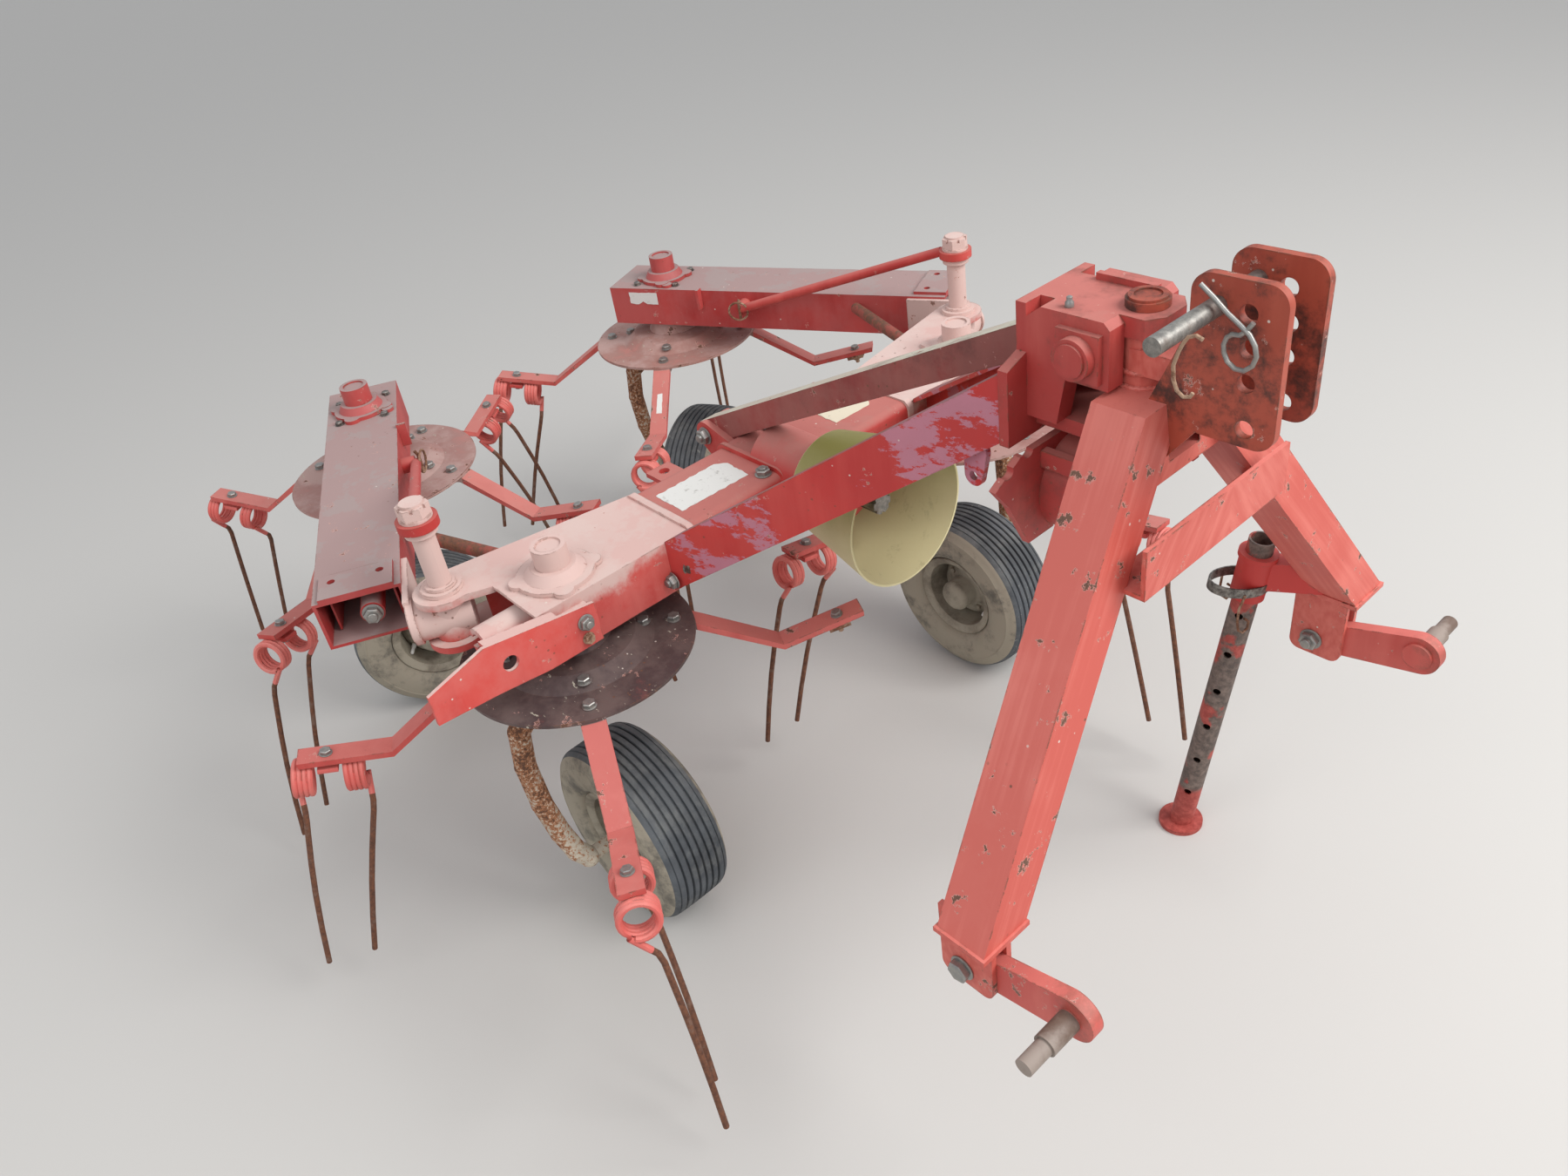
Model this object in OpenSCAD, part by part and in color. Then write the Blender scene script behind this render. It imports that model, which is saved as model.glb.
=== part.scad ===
// Four-rotor hay tedder for a tractor's three-point linkage, parked with its outer rotors folded back.
// X points forward (towards the tractor), Y to the machine's left, Z up. The ground is Z = 0 of the whole,
// while every height below is counted from a base level that lies a little under the ground.

/* [Ground] */
// Height of the ground over the base level
ground = 40; // [20:1:60]

/* [Rotors] */
// Distance between the two inner rotor shafts
rotor_pitch = 868; // [840:2:920]
// Height of the rotor disc's flat rim
disc_z = 583; // [575:1:590]
// Outer radius of a rotor disc
disc_r = 180; // [165:1:195]
// Thickness of the rotor disc
disc_t = 5; // [3:0.5:6]
// Radius of a rotor's hub under the beam
hub_r = 48; // [40:1:60]
// Number of arms on a rotor
arm_count = 4; // [3:1:5]
// Width of an arm's flat bar
arm_w = 36; // [28:1:44]
// Thickness of an arm's flat bar
arm_t = 10; // [8:1:14]
// Radius at which an arm bends back to level
arm_bend_r = 308; // [290:1:325]
// Height of the arm's bend, top face
arm_bend_z = 492; // [484:1:500]
// Radius of the bolt that holds the tine
tine_bolt_r = 402; // [392:1:412]
// Height of the arm's top face at its outer end
arm_end_z = 516; // [506:1:524]
// Length of the arm past the tine's bolt
arm_past_bolt = 40; // [25:1:50]
// Wire diameter of a tine
wire_d = 9.5; // [8:0.5:11]
// Mean radius of a tine's coil
coil_r = 26; // [22:1:30]
// Turns in each of a tine's two coils
coil_turns = 3; // [2:1:4]
// Distance of each coil's middle from the tine's bolt
coil_offset = 38; // [32:1:44]
// Height of the tine tips
tip_z = 112; // [90:2:150]
// Outward lean of a tine over its whole drop
tine_lean = 88; // [60:2:100]
// Sideways lean of a tine over its whole drop
tine_sweep = 34; // [10:2:60]

/* [Centre beam] */
// Height of the beams' top face
beam_top = 714; // [700:1:730]
// Depth of the centre beam
beam_depth = 88; // [80:1:100]
// Width of the centre beam
beam_w = 158; // [140:2:180]
// Wall thickness of the beams
beam_wall = 5; // [4:0.5:8]
// Half length of the centre beam's box
beam_half = 511; // [505:1:515]
// How far the open box ends reach in
beam_mouth = 70; // [40:5:90]
// Distance of the fold pins behind the rotor shafts
hinge_back = 110; // [100:1:120]
// Distance of the fold pins from the machine's middle
hinge_y = 562; // [555:1:575]
// Radius of the fold pins
hinge_pin_r = 17; // [14:0.5:20]
// Height of the fold pins' top
hinge_pin_top = 862; // [840:1:880]
// Radius of the ears round the fold pins
ear_r = 44; // [38:1:50]
// Thickness of the ears
ear_t = 11; // [8:1:14]

/* [Outer beams] */
// Angle that the outer beams are folded back from their working line
fold_angle = 116; // [100:1:120]
// Distance along an outer beam from fold pin to rotor shaft
outer_reach = 700; // [680:1:730]
// Distance of an outer beam's middle in front of its fold pin at work
outer_offset = 125; // [118:1:135]
// Width of an outer beam
outer_w = 130; // [120:1:140]
// Depth of an outer beam
outer_depth = 82; // [74:1:90]
// Distance along an outer beam from its fold pin to its open end
outer_gap = 44; // [38:1:60]
// Length of an outer beam past its rotor shaft
outer_past = 105; // [90:1:130]

/* [Wheels] */
// Outer radius of a tyre
tyre_r = 165; // [155:1:175]
// Width of a tyre
tyre_w = 130; // [120:1:140]
// Radius of the rim's edge
rim_r = 84; // [80:1:90]
// Distance of the axles in front of the rotor shafts
axle_x = 18; // [10:1:24]
// Distance of a tyre's middle from its rotor shaft, towards the machine's middle
tyre_in = 12; // [6:1:18]
// Radius of a wheel leg's tube
leg_r = 17; // [15:1:20]
// Distance of the wheel leg's tube from the rotor shaft, sideways
leg_out = 134; // [128:1:140]

/* [Headstock] */
// Distance of the swing pin in front of the rotor shafts
swing_x = 671; // [650:1:690]
// Height of the shoulder's top face
shoulder_top = 1026; // [1010:1:1040]
// Distance of the leg feet's middles from the machine's middle
leg_foot_y = 401; // [395:1:410]
// Distance of the leg feet's middles in front of the rotor shafts
leg_foot_x = 758; // [745:1:770]
// Height of the legs' lower ends
leg_foot_z = 545; // [535:1:560]
// Width of the headstock's box legs, fore and aft
leg_w = 68; // [60:1:76]
// Distance of the lower hitch arms from the machine's middle
hitch_y = 392; // [385:1:400]
// Distance of the lower hitch pins in front of the rotor shafts
hitch_x = 880; // [865:1:895]
// Height of the lower hitch pins
hitch_z = 489; // [475:1:495]
// Radius of the lower hitch pins' thick part
hitch_pin_r = 14; // [11:0.5:18]
// Radius of the lower hitch pins' thin part
hitch_tip_r = 11; // [9:0.5:14]
// Radius of the mast plates' holes
mast_hole_r = 10; // [9.5:0.5:13]
// Half distance between the mast plates' middles
mast_half = 36; // [32:1:42]
// Thickness of the mast plates
mast_t = 10; // [8:1:14]

/* [Stand] */
// Distance of the stand's foot in front of the rotor shafts
stand_x = 597; // [590:1:604]
// Distance of the stand from the machine's middle
stand_y = 279; // [272:1:284]
// Lean of the stand's tube from upright
stand_lean = 7.3; // [6:0.1:8]
// Direction of the stand's lean, from forward towards the left
stand_heading = 31; // [25:1:40]
// Radius of the stand's tube
stand_r = 19; // [17:1:21]
// Height of the stand's top
stand_top = 640; // [630:1:670]
// Radius of the stand's foot plate
foot_r = 36; // [32:1:44]

/* [Power input] */
// Height of the input shaft
input_z = 697; // [690:1:704]
// Distance of the input shaft's end in front of the rotor shafts
input_end = 232; // [215:1:250]
// Radius of the input shaft over its splines
input_r = 17.5; // [16:0.5:22]
// Radius of the guard's rim
guard_r = 115; // [105:1:120]
// Distance of the guard's rim in front of the rotor shafts
guard_end = 282; // [265:1:300]
// Wall thickness of the guard
guard_t = 3; // [2:0.5:5]

/* [Hidden] */
$fn = 48;

// Running clearance of pins in their bores, and the gap between pieces that only lie against each other
fit = 0.08;
seat = 0.3;

// A ball at a tube's bend is a little larger than the tube, so that the two cross cleanly
joint_swell = 0.6;
eps = 1;

paint = "#c8473c";
dusty = "#c9877c";
rust = "#7d4a33";
steel = "#8d8f90";
rubber = "#3d4248";
rim_dust = "#9c9482";
plastic = "#a99f55";

// Rotors from right to left at work: a and b on the right, c and d on the left.
// Columns: side (-1 right, 1 left), on a folding beam (1) or not (0), first arm's angle, tine sweep's sign,
// and the arms that still have their tine, counted from 0
ROTOR_A = [-1, 1, 33, -1, [0, 1, 2, 3]];
ROTOR_B = [-1, 0, -27, 1, [0, 2, 3]];
ROTOR_C = [1, 0, -1, -1, [0, 1, 2, 3]];
ROTOR_D = [1, 1, 42, 1, [1, 2, 3]];

beam_bottom = beam_top - beam_depth;
beam_mid = (beam_top + beam_bottom) / 2;
beam_x = -12;
beam_back = beam_x - beam_w / 2;
beam_front = beam_x + beam_w / 2;

// Ring flanges where the gear housing ends, and the housing's raised cover, by their distance from the middle
ring_y = 236;
ring_t = 12;
cover_right = 46;
cover_left = 80;

// The drive claws stand in the open beam ends
claw_x = 4;
claw_r = 30;
claw_end = 576;
claw_hub_r = 18;
outer_mouth = 180;
inner_y = rotor_pitch / 2;
hinge = [-hinge_back, hinge_y];
outer_x = outer_offset - hinge_back;
outer_y = hinge_y + outer_reach;
outer_bottom = beam_top - outer_depth;
outer_side = outer_x - outer_w / 2;
rod_eye_z = hinge_pin_top - 40;
rod_eye_t = 14;
outer_start = hinge_y + outer_gap;

// Heights that follow the headstock's shoulder
block_low = shoulder_top - 96;
fork_low = shoulder_top - 70;
fork_low_t = 18;
fork_high = shoulder_top + 60;
fork_high_t = 24;
fork_half = 36;
cheek_t = 26;
tilt_pin = [632, shoulder_top + 42];
channel_low = shoulder_top - 178;
boss_r = 30;
swing_pin_r = 18;
mast_top = shoulder_top + 152;
mast_low = shoulder_top - 23;
mast_front = 847;

// Where a rotor's shaft stands, folded as parked
function turned(v, a) = [v.x * cos(a) - v.y * sin(a), v.x * sin(a) + v.y * cos(a)];
function shaft_at(r) =
    r[1] == 0
        ? [0, r[0] * inner_y]
        : [hinge.x, r[0] * hinge.y] + turned([outer_offset, r[0] * outer_reach], r[0] * fold_angle);

// The tine's two coils hang under the arm's rising end, side by side along it
arm_end_r = tine_bolt_r + arm_past_bolt;
arm_rise = atan2(arm_end_z - arm_bend_z, arm_end_r - arm_bend_r);
arm_bolt_z = arm_end_z - arm_past_bolt * tan(arm_rise);
coil_drop = arm_t + seat + coil_r + wire_d / 2;
coil_len = coil_turns * wire_d * 0.96;
function coil_at(s) = [
    tine_bolt_r + s * coil_offset * cos(arm_rise) + coil_drop * sin(arm_rise),
    0,
    arm_bolt_z + s * coil_offset * sin(arm_rise) - coil_drop * cos(arm_rise)
];
function tine_tip(s) = coil_at(s).x + tine_lean;

// The bounding box's middle becomes the origin
arm_turns = [for (i = [0:arm_count - 1]) i * 360 / arm_count];
tip_reach = tine_tip(1);
tip_angles = function(r) [for (a = arm_turns) r[2] + a + r[3] * tip_turn];
tip_turn = atan2(tine_sweep, tip_reach);
tip_far = norm([tip_reach, tine_sweep]);
rotors = [ROTOR_A, ROTOR_B, ROTOR_C, ROTOR_D];
tips_x = [for (r = rotors) for (a = tip_angles(r)) shaft_at(r).x + tip_far * cos(a)];
tips_y = [for (r = rotors) for (a = tip_angles(r)) shaft_at(r).y + tip_far * sin(a)];
hitch_eye_r = 30;
x_front = hitch_x + hitch_eye_r;
x_back = min(tips_x) - wire_d / 2;
frame_x = -(x_front + x_back) / 2;
frame_y = -(max(tips_y) + min(tips_y)) / 2;

module in_frame() {
    translate([frame_x, frame_y, -ground]) children();
}

// Mirrors what is drawn for the machine's left side to the right side
module on_side(side) {
    mirror([0, side < 0 ? 1 : 0, 0]) children();
}

// What is drawn for the left outer beam at work is folded back to where it is parked
module folded() {
    translate([hinge.x, hinge.y, 0]) rotate([0, 0, fold_angle]) translate([-hinge.x, -hinge.y, 0]) children();
}

module rod(p, q, r) {
    v = q - p;
    length = norm(v);
    translate(p) rotate([0, acos(v.z / length), atan2(v.y, v.x)]) cylinder(h = length, r = r);
}

// A flat link: two round ends and the tangents between them
module link_2d(p, rp, q, rq) {
    v = q - p;
    heading = atan2(v.y, v.x);
    lean = acos((rp - rq) / norm(v));
    translate(p) circle(r = rp);
    translate(q) circle(r = rq);
    polygon([
        p + rp * [cos(heading + lean), sin(heading + lean)],
        p + rp * [cos(heading - lean), sin(heading - lean)],
        q + rq * [cos(heading - lean), sin(heading - lean)],
        q + rq * [cos(heading + lean), sin(heading + lean)]
    ]);
}

// A rectangle with rounded corners
module round_rect(x0, y0, x1, y1, r) {
    translate([x0 + r, y0]) square([x1 - x0 - 2 * r, y1 - y0]);
    translate([x0, y0 + r]) square([x1 - x0, y1 - y0 - 2 * r]);
    for (x = [x0 + r, x1 - r]) for (y = [y0 + r, y1 - r]) translate([x, y]) circle(r = r);
}

// Draws in the vertical plane: 2D x along X, 2D y along Z, thickness t centred on the plane Y = y
module upright(y, t) {
    translate([0, y + t / 2, 0]) rotate([90, 0, 0]) linear_extrude(height = t) children();
}

// A rotor's gear cap on top of its beam
module gear_cap(flange_r) {
    translate([0, 0, beam_top - eps]) {
        linear_extrude(height = 7 + eps) {
            circle(r = flange_r);
            for (a = [20:90:290]) rotate(a) translate([flange_r - 4, 0]) circle(r = 15);
        }
        cylinder(h = 20 + eps, r1 = flange_r - 5, r2 = 34);
        difference() {
            cylinder(h = 52 + eps, r = 26);
            translate([0, 0, 49 + eps]) cylinder(h = 10, r = 19);
        }
    }
}

// A length of the beam's rounded housing, grown by so much all round
module housing(y0, y1, grow, r) {
    translate([0, y1, 0]) rotate([90, 0, 0]) linear_extrude(height = y1 - y0)
        round_rect(beam_back - grow, beam_bottom - grow, beam_front + grow, beam_top + grow, r);
}

// Half of a drive claw: a cup with two jaws, lying along the beam
module claw() {
    length = claw_end - beam_half + beam_mouth;
    translate([claw_x, beam_half - beam_mouth - eps, beam_mid]) rotate([-90, 0, 0]) difference() {
        cylinder(h = length + eps, r = claw_r);
        translate([0, 0, length - 30]) cylinder(h = 40, r = claw_r - 9);
        translate([-50, -10, length - 20]) cube([100, 20, 40]);
    }
}

module centre_beam_half() {
    inside = ring_y - ring_t / 2;
    difference() {
        translate([beam_back, inside, beam_bottom]) cube([beam_w, beam_half - inside, beam_depth]);
        translate([beam_back + beam_wall, beam_half - beam_mouth, beam_bottom + beam_wall])
            cube([beam_w - 2 * beam_wall, beam_mouth + eps, beam_depth - 2 * beam_wall]);
    }
    for (z = [beam_top - ear_t, beam_bottom]) translate([0, 0, z]) linear_extrude(height = ear_t)
        difference() {
            union() {
                polygon([
                    [beam_back + 40, ring_y], [beam_back, ring_y],
                    [hinge.x - ear_r * cos(16), hinge.y - ear_r * sin(16)],
                    [hinge.x + ear_r * sin(30), hinge.y + ear_r * cos(30)], [beam_back + 40, beam_half]
                ]);
                translate(hinge) circle(r = ear_r);
            }
            translate(hinge) circle(r = hinge_pin_r + 0.05);
        }
    translate([0, inner_y, 0]) gear_cap(58);
    housing(inside, ring_y + ring_t / 2, 4, 14);
    claw();
}

module centre_beam() {
    color(dusty) in_frame() for (side = [-1, 1]) on_side(side) centre_beam_half();
}
strut_bolt = [-156, beam_top - 10];
module gearbox() {
    inside = ring_y - ring_t / 2;
    color(paint) in_frame() {
        housing(-inside, inside, 1, 16);
        housing(-cover_right, cover_left, 5, 22);
        housing(-cover_right - 8, -cover_right + eps, 9, 24);
        translate([beam_x, 0, input_z]) rotate([0, 90, 0]) cylinder(h = 158 - beam_x, r = 56);
        for (y = [-24, 24]) upright(y, 12) difference() {
            link_2d(strut_bolt, 24, [beam_back - 4, beam_mid + 4], 36);
            translate(strut_bolt) circle(r = 9);
        }
        // A lug with a hole on the housing's back edge
        translate([beam_back - 46, -172, beam_top - 16]) difference() {
            cube([50, 46, 8]);
            translate([20, 23, -eps]) cylinder(h = 10, r = 9);
        }
    }
}

module pto_shaft() {
    color(steel) in_frame() translate([158 + seat, 0, input_z]) rotate([0, 90, 0])
        linear_extrude(height = input_end - 158 - seat) difference() {
            circle(r = input_r);
            for (i = [0:5]) rotate(i * 60) translate([input_r, 0]) circle(r = 3);
        }
}

module pto_guard() {
    color(plastic) in_frame() translate([0, 0, input_z]) rotate([0, 90, 0]) rotate_extrude() polygon([
        [56, 118], [82, 118], [98, 200], [guard_r, guard_end],
        [guard_r - guard_t, guard_end], [98 - guard_t, 200 + 4], [80 - guard_t, 118 + guard_t],
        [56, 118 + guard_t]
    ]);
}

// Draws a bar from p to q whose ends stay upright: children are drawn 1 long in X, in the bar's cross-section
module sheared(p, q) {
    v = q - p;
    multmatrix([
        [v.x, 0, 0, p.x],
        [v.y, 1, 0, p.y],
        [v.z, 0, 1, p.z],
        [0, 0, 0, 1]
    ]) children();
}

fork_back = 545;
arm_back = [beam_front, 266, beam_top - 42];
arm_front = [fork_back, 74, shoulder_top - 36];
module drawbar_arms() {
    lug = arm_back + (arm_front - arm_back) * 0.91;
    color(paint) in_frame() for (side = [-1, 1]) on_side(side) {
        sheared(arm_back, arm_front) difference() {
            translate([0, -20, -44]) cube([1, 40, 88]);
            translate([-0.1, -20 - eps, -44 + 8]) cube([1.2, 32 + eps, 72]);
        }
        // A lug with a hole hangs below each arm
        upright(lug.y, 8) difference() {
            link_2d([lug.x, lug.z - 74], 14, [lug.x + 4, lug.z - 38], 18);
            translate([lug.x, lug.z - 74]) circle(r = 6);
        }
    }
}

spine_back = [-185, 0, beam_top - 22];
spine_front = [fork_back, 0, shoulder_top + 24];
module spine_strut() {
    color(dusty) in_frame() sheared(spine_back, spine_front) difference() {
        translate([0, -18, -22]) cube([1, 36, 46]);
        translate([-0.1, -12, -22 - eps]) cube([1.2, 24, 38]);
    }
}

module pivot_bracket() {
    cheek_y = fork_half + cheek_t / 2;
    cheek_out = fork_half + cheek_t;
    top = fork_high + fork_high_t;
    color(paint) in_frame() {
        translate([0, 0, fork_low]) linear_extrude(height = fork_low_t) difference() {
            union() {
                translate([fork_back, -46]) square([swing_x - fork_back, 92]);
                translate([swing_x, 0]) circle(r = 46);
            }
            translate([swing_x, 0]) circle(r = swing_pin_r + fit);
        }
        translate([0, 0, fork_high]) linear_extrude(height = fork_high_t) difference() {
            polygon([
                [fork_back, -fork_half], [swing_x + 21, -fork_half], [swing_x + 35, -18],
                [swing_x + 35, 18], [swing_x + 21, fork_half], [fork_back, fork_half]
            ]);
            translate([swing_x, 0]) circle(r = swing_pin_r + fit);
        }
        translate([fork_back + 40, fork_half - 8, top - eps]) cube([78, 8, 8 + eps]);
        // The plate that the drawbar arms and the strut are welded to
        translate([fork_back, 0, 0]) rotate([90, 0, 90]) linear_extrude(height = 14) polygon([
            [-96, shoulder_top - 82], [96, shoulder_top - 82], [96, shoulder_top + 14], [cheek_out, shoulder_top + 26],
            [cheek_out, top], [-cheek_out, top], [-cheek_out, shoulder_top + 26], [-96, shoulder_top + 14]
        ]);
        for (side = [-1, 1]) on_side(side) {
            upright(cheek_y, cheek_t) polygon([
                [fork_back + 8, fork_low + fork_low_t - eps], [600, fork_low + fork_low_t - eps],
                [612, shoulder_top + 6], [swing_x - 3, shoulder_top + 6],
                [swing_x - 3, top - 8], [swing_x - 11, top], [fork_back + 34, top], [fork_back + 8, top - 20]
            ]);
            translate([tilt_pin.x - 28, cheek_out - eps, tilt_pin.y - 28]) cube([56, 8 + eps, 56]);
            translate([tilt_pin.x, cheek_out + 8 - eps, tilt_pin.y]) rotate([-90, 0, 0]) {
                cylinder(h = 12 + eps, r = 24);
                cylinder(h = 15 + eps, r = 19);
            }
        }
    }
}

module pivot_pin() {
    low = fork_low - 6;
    top = fork_high + fork_high_t + seat;
    color(steel) in_frame() translate([swing_x, 0, 0]) {
        translate([0, 0, low]) cylinder(h = top - low + 1, r = swing_pin_r);
        translate([0, 0, top]) difference() {
            union() {
                cylinder(h = 9, r = 24);
                cylinder(h = 12, r = 21);
            }
            translate([0, 0, 10]) cylinder(h = 4, r = 15);
        }
    }
}

module hinge_pins() {
    nut_z = rod_eye_z + rod_eye_t + seat + 4;
    color(dusty) in_frame() for (side = [-1, 1]) on_side(side) translate([hinge.x, hinge.y, 0]) {
        translate([0, 0, beam_bottom - 12]) cylinder(h = hinge_pin_top - beam_bottom + 12, r = hinge_pin_r);
        translate([0, 0, beam_top]) cylinder(h = 7, r = 31);
        translate([0, 0, beam_top]) cylinder(h = 12, r = 23);
        translate([0, 0, beam_bottom - 12]) cylinder(h = 12, r = 26);
        translate([0, 0, rod_eye_z - seat - 10]) cylinder(h = 10, r = 24);
        // Washer and castle nut
        translate([0, 0, nut_z - 4]) cylinder(h = 4, r = 24);
        translate([0, 0, nut_z]) difference() {
            cylinder(h = 18, r = 24, $fn = 6);
            for (a = [30:60:150]) rotate([0, 0, a]) translate([-30, -2.5, 12]) cube([60, 5, 10]);
        }
    }
}

// Brackets in front of the centre beam's ends, which the outer beams lie behind at work
bracket_t = 6;
bracket_x = outer_x + outer_w / 2 + 5;
module guard_brackets() {
    color(paint) in_frame() for (side = [-1, 1]) on_side(side) {
        translate([bracket_x, 0, 0]) rotate([90, 0, 90]) linear_extrude(height = bracket_t) difference() {
            polygon([
                [432, beam_top - 74], [432, beam_top - 10], [489, beam_top - 2], [604, beam_top + 16],
                [694, beam_top - 9], [694, beam_top - 57], [604, beam_top - 64], [520, beam_top - 74]
            ]);
            translate([574, beam_top - 28]) circle(r = 12);
        }
        translate([beam_front + 3, 0, 0]) rotate([90, 0, 90])
            linear_extrude(height = bracket_x - beam_front - 3 + eps) polygon([
                [489, beam_top - 8], [489, beam_top - 2], [600, beam_top + 15.4], [600, beam_top + 9.4]
            ]);
        translate([beam_front, 436, beam_bottom + 18]) cube([bracket_x - beam_front + eps, 60, 54]);
    }
}

// A point on a folded left beam's inner face, at distance s along it, held off by gap
function inner_face(s, gap, z) =
    let (p = turned([outer_offset - outer_w / 2 - gap, s], fold_angle)) [hinge.x + p.x, hinge.y + p.y, z];

strut_from = [beam_back - 6, 430, beam_top - 24];
strut_to = inner_face(228, 9, beam_top - 24);
module lock_struts() {
    color(rust) in_frame() for (side = [-1, 1]) on_side(side) {
        rod(strut_from, strut_to, 11);
        translate([beam_back - 10, 412, beam_top - 40]) cube([10, 36, 28]);
    }
}

leg_top = [692, 42, shoulder_top];
leg_foot = [leg_foot_x, leg_foot_y, leg_foot_z];
module headstock_leg() {
    v = leg_foot - leg_top;
    multmatrix([
        [1, 0, v.x, leg_top.x],
        [0, 1, v.y, leg_top.y],
        [0, 0, v.z, leg_top.z],
        [0, 0, 0, 1]
    ]) translate([-leg_w / 2, -36, 0]) cube([leg_w, 72, 1]);
}

// The two plates under each foot, which the lower arm swings between
lower_arm_t = 18;
foot_plate_t = 8;
foot_plate_y = (lower_arm_t + foot_plate_t) / 2;
mast_inside = mast_half - mast_t / 2;
module headstock_frame() {
    boss_top = fork_high - seat;
    color(paint) in_frame() {
        difference() {
            union() {
                for (side = [-1, 1]) on_side(side) headstock_leg();
                translate([658, -78, block_low]) cube([leg_w, 156, shoulder_top - block_low]);
                translate([swing_x, 0, block_low + 10]) cylinder(h = boss_top - block_low - 10, r = boss_r);
                translate([swing_x, -mast_inside, shoulder_top + 18]) cube([69, 2 * mast_inside, 28]);
            }
            translate([swing_x, 0, block_low - 30]) cylinder(h = 300, r = swing_pin_r + fit);
            difference() {
                translate([swing_x, 0, fork_low - 6]) cylinder(h = fork_low_t + 13, r = 62);
                translate([swing_x, 0, fork_low + fork_low_t + seat]) cylinder(h = 20, r = boss_r);
            }
        }
        difference() {
            translate([724, -140, channel_low]) cube([52, 280, 64]);
            translate([724 - eps, -140 - eps, channel_low + 6]) cube([52 + eps - 6, 280 + 2 * eps, 70]);
        }
        for (side = [-1, 1]) on_side(side) {
            translate([leg_foot_x - leg_w / 2 - 3, leg_foot_y - 39, leg_foot_z - 6]) cube([leg_w + 6, 78, 7]);
            for (y = [hitch_y - foot_plate_y, hitch_y + foot_plate_y]) upright(y, foot_plate_t) {
                round_rect(700, 425, 778, 480, 16);
                translate([700, 450]) square([78, leg_foot_z - 454]);
            }
        }
    }
}

// Centres of the mast plates' holes, the last one with the top link pin in it
mast_holes = [for (p = [[807, 119], [811, 83], [811, 47], [814, -3], [775, 121]]) [p.x, shoulder_top + p.y]];
module mast_plates() {
    color(paint) in_frame() difference() {
        for (side = [-1, 1]) upright(side * mast_half, mast_t) difference() {
            union() {
                round_rect(745, mast_low, mast_front, mast_top, 22);
                polygon([
                    [658 + leg_w, shoulder_top - 66], [760, mast_low], [760, mast_top - 28],
                    [722, shoulder_top + 38], [704, shoulder_top], [658 + leg_w, shoulder_top]
                ]);
            }
            for (p = mast_holes) translate(p) circle(r = mast_hole_r);
        }
        for (side = [-1, 1]) on_side(side) headstock_leg();
    }
}

module top_link_pin() {
    color(steel) in_frame() translate([mast_holes[4].x, -150, mast_holes[4].y]) rotate([-90, 0, 0]) {
        cylinder(h = 215, r = mast_hole_r - 0.05);
        translate([0, 0, 195]) cylinder(h = 8, r = 15);
    }
}

module lower_arms() {
    color(paint) in_frame() for (side = [-1, 1]) on_side(side) {
        upright(hitch_y, lower_arm_t) link_2d([734, 452], 24, [hitch_x, hitch_z], hitch_eye_r);
        translate([hitch_x, hitch_y, hitch_z]) rotate([-90, 0, 0]) {
            cylinder(h = 53, r = hitch_pin_r);
            cylinder(h = 88, r = hitch_tip_r);
            translate([0, 0, -lower_arm_t / 2 - 5]) cylinder(h = 6, r = 20);
        }
    }
}

// Notched plate behind the headstock, with the open hoop that the drive shaft is laid in
hoop_z = shoulder_top - 160;
hoop_r = 57;
hoop_t = 6;
plate_x = 566;
module centring_plate() {
    color(paint) in_frame() {
        translate([plate_x, 0, 0]) rotate([90, 0, 90]) linear_extrude(height = 10) difference() {
            polygon([
                [-142, hoop_z + 46], [-96, hoop_z + 72], [96, hoop_z + 72], [142, hoop_z + 46],
                [118, hoop_z + 14], [84, hoop_z - 54], [-84, hoop_z - 54], [-118, hoop_z + 14]
            ]);
            translate([0, hoop_z]) circle(r = hoop_r);
            translate([-36, hoop_z - 80]) square([72, 60]);
            for (side = [-1, 1]) {
                translate([side * 82, hoop_z + 74]) circle(r = 9);
                translate([side * 118, hoop_z + 62]) circle(r = 9);
            }
        }
        translate([plate_x + 10 - eps, 0, hoop_z]) rotate([0, 90, 0]) difference() {
            cylinder(h = 46 + eps, r = hoop_r + hoop_t);
            translate([0, 0, -eps]) cylinder(h = 60, r = hoop_r);
            translate([0, -36, -eps]) cube([80, 72, 60]);
        }
        for (y = [-60, 48]) translate([plate_x + 10 - eps, y, block_low - 22]) cube([134, 12, 22]);
    }
}

// Where the stand's leaning axis passes at a height
function stand_x_y(z) = [stand_x, stand_y] + z * tan(stand_lean) * [cos(stand_heading), sin(stand_heading)];

module on_stand() {
    translate([stand_x, stand_y, 0]) rotate([0, stand_lean, stand_heading]) children();
}

sleeve_low = 540;
sleeve_high = 618;
module stand_sleeve() {
    color(paint) in_frame() difference() {
        union() {
            on_stand() {
                translate([0, 0, sleeve_low]) cylinder(h = sleeve_high - sleeve_low, r = stand_r + 6);
                translate([0, 0, sleeve_high - 8]) cylinder(h = 8, r = stand_r + 9);
            }
            // A channel from the sleeve to the leg's foot
            sheared([stand_x + 70, stand_y + 38, 580], [leg_foot_x - 12, leg_foot_y - 20, leg_foot_z + 24])
                difference() {
                    translate([0, -17, -24]) cube([1, 34, 48]);
                    translate([-0.1, -10, -18]) cube([1.2, 40, 36]);
                }
        }
        on_stand() translate([0, 0, 500]) cylinder(h = 250, r = stand_r + fit);
        headstock_leg();
    }
}

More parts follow.
